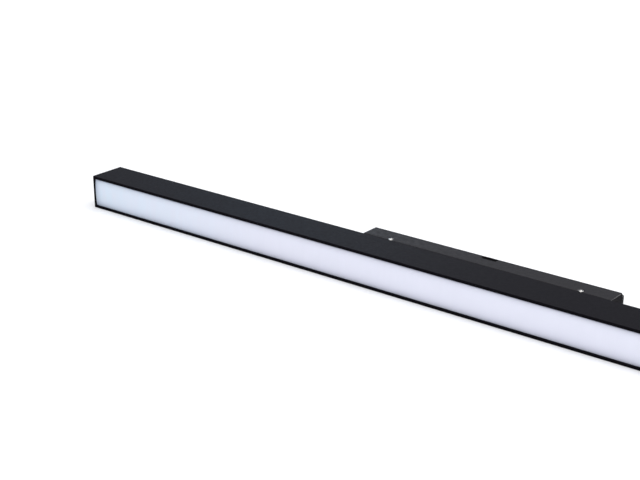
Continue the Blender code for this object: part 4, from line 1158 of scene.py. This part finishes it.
def lock_lever(side, end, middle):
    """A hub with an arm that points to its own end at rest, sunk on both faces and ribbed at its tip."""
    low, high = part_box(f"lock_lever_{end}")
    thick = high.y - low.y
    hub, width, arm, soft = 0.0060, 0.0030, 0.0205, 0.0010
    lean = math.degrees(math.asin(width / hub))
    outline = arc((0, 0), hub, lean, 360 - lean, 40)
    outline += arc((arm - soft, soft - width), soft, 270, 360, 5)
    outline += arc((arm - soft, width - soft), soft, 0, 90, 5)
    blank = loft([[(x, y, level) for x, y in outline] for level in (0.0, thick)])
    hole = drill("Z", [(0.0, 0.0)], SHAFT, -PAST, thick + PAST, 32)
    pockets = [slab("Z", (0.0068, -0.0018), (0.0138, 0.0018), 0.0008, level, level + 0.0012)
               for level in (thick - 0.0007, -0.0005)]
    plain = shaped(blank, edge=0.0003, cuts=[hole, *pockets], segments=3)
    ribs = []
    for i in range(4):
        x = 0.0152 + 0.0011 * i
        for near, far in ((-0.0002, 0.0002), (thick - 0.0002, thick + 0.0002)):
            ribs.append(brick((x, -0.0026, near), (x + 0.0005, 0.0026, far), 0.0001, 1))
    mesh = gathered([plain, *ribs])
    lie = Matrix((X, Z, Y)).transposed().to_4x4()
    swing = Matrix.Rotation(math.radians(-135 if side < 0 else -45), 4, "Z")
    mesh.transform(Matrix.Translation((middle, low.y, MID)) @ lie @ swing)
    mesh.flip_normals()
    piece(f"ribbed_lever_{end}", mesh, f"lock_lever_{end}")


def lock_ring(end, middle):
    """An open spring ring in the shaft's groove, with two notches."""
    low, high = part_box(f"lock_ring_{end}")
    height = high.y - low.y
    outer, soft = (high.x - low.x) / 2, 0.00015
    profile = [(SHAFT, height - soft), (SHAFT + soft, height), (outer - soft, height),
               (outer, height - soft), (outer, soft), (outer - soft, 0), (SHAFT + soft, 0), (SHAFT, soft)]
    mouth = block((0.0, -0.0011, -PAST), (outer + PAST, 0.0011, height + PAST))
    notches = [moved(turned(disc(0.0007, height + PAST, -PAST), 20),
                     (SHAFT * math.cos(angle), SHAFT * math.sin(angle), 0.0)) for angle in (2.1, -2.1)]
    ring = shaped(turned(profile, ring=True), cuts=[mouth, *notches])
    piece(f"spring_ring_{end}", ring, f"lock_ring_{end}", at=(middle, low.y, MID), along=Y, turn=0.9)


def locks():
    for side, end in ENDS:
        middle = side * LOCK_X
        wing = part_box(f"lock_wing_{end}")
        lock_head(end, middle, *wing)
        lock_shaft(end, middle, *wing)
        lock_wing(end, middle, *wing)
        lock_lever(side, end, middle)
        lock_ring(end, middle)


def contact_head():
    """The middle head: two blade slots, the turret's bore, grooves for the earth springs and cored ends."""
    cuts = []
    for pole in ("live", "neutral"):
        low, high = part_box(f"{pole}_contact")
        reach = max(-low.x, high.x) + 0.0006
        blade_slot = slab("Z", (-reach, low.y - 0.0005), (reach, high.y + 0.0005), 0.0003, LOW.z, HIGH.z, 2)
        cuts.append(blade_slot)
    bore = drill("Y", [(0.0, MID)], TURRET_BORE, SHOULDER - 0.002, HEAD_TOP - 0.0014, 40)
    cuts.append(bore)
    for way, row in ROWS:
        low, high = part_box(f"earth_spring_{row}")
        near, far = sorted((MID + way * 0.0077, MID + way * HALF))
        groove = block((low.x - 0.0005, SHOULDER - PAST, near), (high.x + 0.0005, SHOULDER + 0.0125, far))
        cuts.append(groove)
    head("contact_head", (SHOULDER + 0.0155,), cuts + cored(0.0, 0.0190, 0.0240, 0.0050, 0.0040))


# -------- the selector and the springs

def turret():
    """The moulded turret, with a pocket for each blade."""
    low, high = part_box("contact_turret")
    radius, top, foot = (high.x - low.x) / 2, high.y, low.y
    profile = [(0, top), (radius - 0.0005, top), (radius - 0.0002, top - 0.0001), (radius, top - 0.0005),
               (radius, PLATE_INNER + 0.0002), (radius - 0.0002, PLATE_INNER), (0.0040, PLATE_INNER),
               (0.0040, foot + 0.0003), (0.0037, foot), (0, foot)]
    pockets = []
    for side, pole in POLES:
        low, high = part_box(f"{pole}_contact")
        near, far = sorted((side * 0.0023, side * 0.0070))
        reach = high.z - MID + GAP
        pockets.append(block((near, -reach, low.y - GAP), (far, reach, high.y + GAP)))
    piece("moulded_turret", shaped(turned(profile), cuts=pockets), "contact_turret", at=(0.0, 0.0, MID),
          along=Y)


def contacts():
    """Each pole's blade, with a dimple at its nose, and its grooved slip ring."""
    bump = [(0, 0.00025), (0.0003, 0.00022), (0.0006, 0.0001), (0.0008, -0.0001), (0, -0.0001)]
    for side, pole in POLES:
        node = f"{pole}_contact"
        low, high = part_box(node)
        nose = (high.z - low.z) / 2
        tip, root = (high.x, low.x) if side > 0 else (-low.x, -high.x)
        outline = [(root, -nose), *arc((tip - nose, 0), nose, -90, 90, 20), (root, nose)]
        blank = prism("Y", [(side * x, MID + z) for x, z in outline], low.y, high.y)
        dimple = moved(turned(bump, 20), (side * (tip - nose), high.y - 0.0001, MID), Y)
        piece(f"stamped_{node}", gathered([shaped(blank, edge=0.0002), dimple]), node)

        node = f"{pole}_slip_ring"
        low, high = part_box(node)
        outer, height = (high.x - low.x) / 2, high.y - low.y
        inner, soft = 0.0043, 0.0001
        profile = [(inner, height), (outer - soft, height), (outer, height - soft), (outer, height * 0.62),
                   (outer - soft, height * 0.5), (outer, height * 0.38), (outer, soft), (outer - soft, 0),
                   (inner, 0)]
        piece(f"grooved_{node}", turned(profile, ring=True), node, at=(0.0, low.y, MID), along=Y)


def wheel():
    """The knurled thumb wheel, dished on the side of the board."""
    low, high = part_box("selector_wheel")
    outer, teeth = (high.x - low.x) / 2, 54
    knurl = ((0.0, 0.0), (0.18, 0.0), (0.38, 0.00055), (0.62, 0.0006), (0.82, 0.0001))
    points = [(math.tau * (i + share) / teeth, depth) for i in range(teeth) for share, depth in knurl]
    rings = []
    for level, inset in ((low.y, 0.0005), (low.y + 0.0001, 0.0003), (low.y + 0.0003, 0.0),
                         (high.y - 0.0003, 0.0), (high.y - 0.0001, 0.0003), (high.y, 0.0005)):
        radii = [(outer - depth - inset, angle) for angle, depth in points]
        rings.append([(r * math.cos(angle), level, MID + r * math.sin(angle)) for r, angle in radii])
    hub, rim, depth = 0.0072, 0.0135, 0.0016
    dish = turned([(hub, 0.0), (rim, 0.0), (rim, depth), (hub, depth)], ring=True)
    cuts = [drill("Y", [(0.0, MID)], 0.0043, low.y - PAST, high.y + PAST, 40),
            moved(dish, (0.0, low.y - PAST, MID), Y)]
    mesh = shaped(loft(rings), cuts=cuts, cut_edge=0.0001, angle=60.0)
    piece("knurled_wheel", mesh, "selector_wheel", sharp=50.0)


def ribbon(points, thickness, steps=8):
    """The outline of a bent strip along a smooth curve through the points."""
    route = [Vector(point) for point in points]
    route = [route[0] * 2 - route[1], *route, route[-1] * 2 - route[-2]]
    fine = []
    for p0, p1, p2, p3 in zip(route, route[1:], route[2:], route[3:]):
        for t in (i / steps for i in range(steps)):
            bend = (p0 * 2 - p1 * 5 + p2 * 4 - p3) * t * t + (p1 * 3 - p0 - p2 * 3 + p3) * t ** 3
            fine.append((p1 * 2 + (p2 - p0) * t + bend) / 2)
    fine.append(route[-2])
    sides = ([], [])
    for before, here, after in zip([fine[0], *fine], fine, [*fine[1:], fine[-1]]):
        along = (after - before).normalized()
        across = Vector((-along.y, along.x)) * thickness / 2
        sides[0].append(tuple(here + across))
        sides[1].append(tuple(here - across))
    return sides[0] + sides[1][::-1]


def springs():
    """The wipers on the slip rings, and the earth springs on the sides of the contact head."""
    touch = 0.0057
    for side, pole in POLES:
        node = f"{pole}_wiper"
        ring = centre(f"{pole}_slip_ring").y
        points = [(0.0140, SEAT + 0.0002), (0.0096, SEAT + 0.0002), (0.0082, SEAT + 0.0012),
                  (0.0074, SEAT + 0.0040), (touch + 0.0006, ring - 0.0014), (touch, ring),
                  (touch + 0.0007, ring + 0.0010)]
        outline = [(side * x, y) for x, y in ribbon(points, 0.0003)]
        low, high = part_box(node)
        piece(f"formed_{node}", prism("Z", outline, low.z, high.z), node)
    near = 0.0083
    points = [(PLATE_INNER - 0.0020, near + 0.0010), (SHOULDER + 0.0010, near + 0.0010),
              (SHOULDER + 0.0040, near + 0.0012), (SHOULDER + 0.0070, near + 0.0017),
              (SHOULDER + 0.0095, near + 0.0011), (SHOULDER + 0.0115, near)]
    for way, row in ROWS:
        node = f"earth_spring_{row}"
        low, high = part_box(node)
        outline = [(y, MID + way * z) for y, z in ribbon(points, 0.0004)]
        piece(f"formed_{node}", prism("X", outline, low.x, high.x), node)


def frame_finish():
    """A CAD node that is still shown takes its slot's material."""
    for part in frame["record"]["subparts"]:
        node = frame["nodes"][part["node"]]
        if not node.hide_render:
            node.data.materials.clear()
            node.data.materials.append(MATERIALS[part["material_slot"]])


camera()
surroundings()
screws()
bar()
opal_front()
end_caps()
light_boards()
driver_box()
tray()
driver()
leads()
locks()
contact_head()
turret()
contacts()
wheel()
springs()
frame_finish()
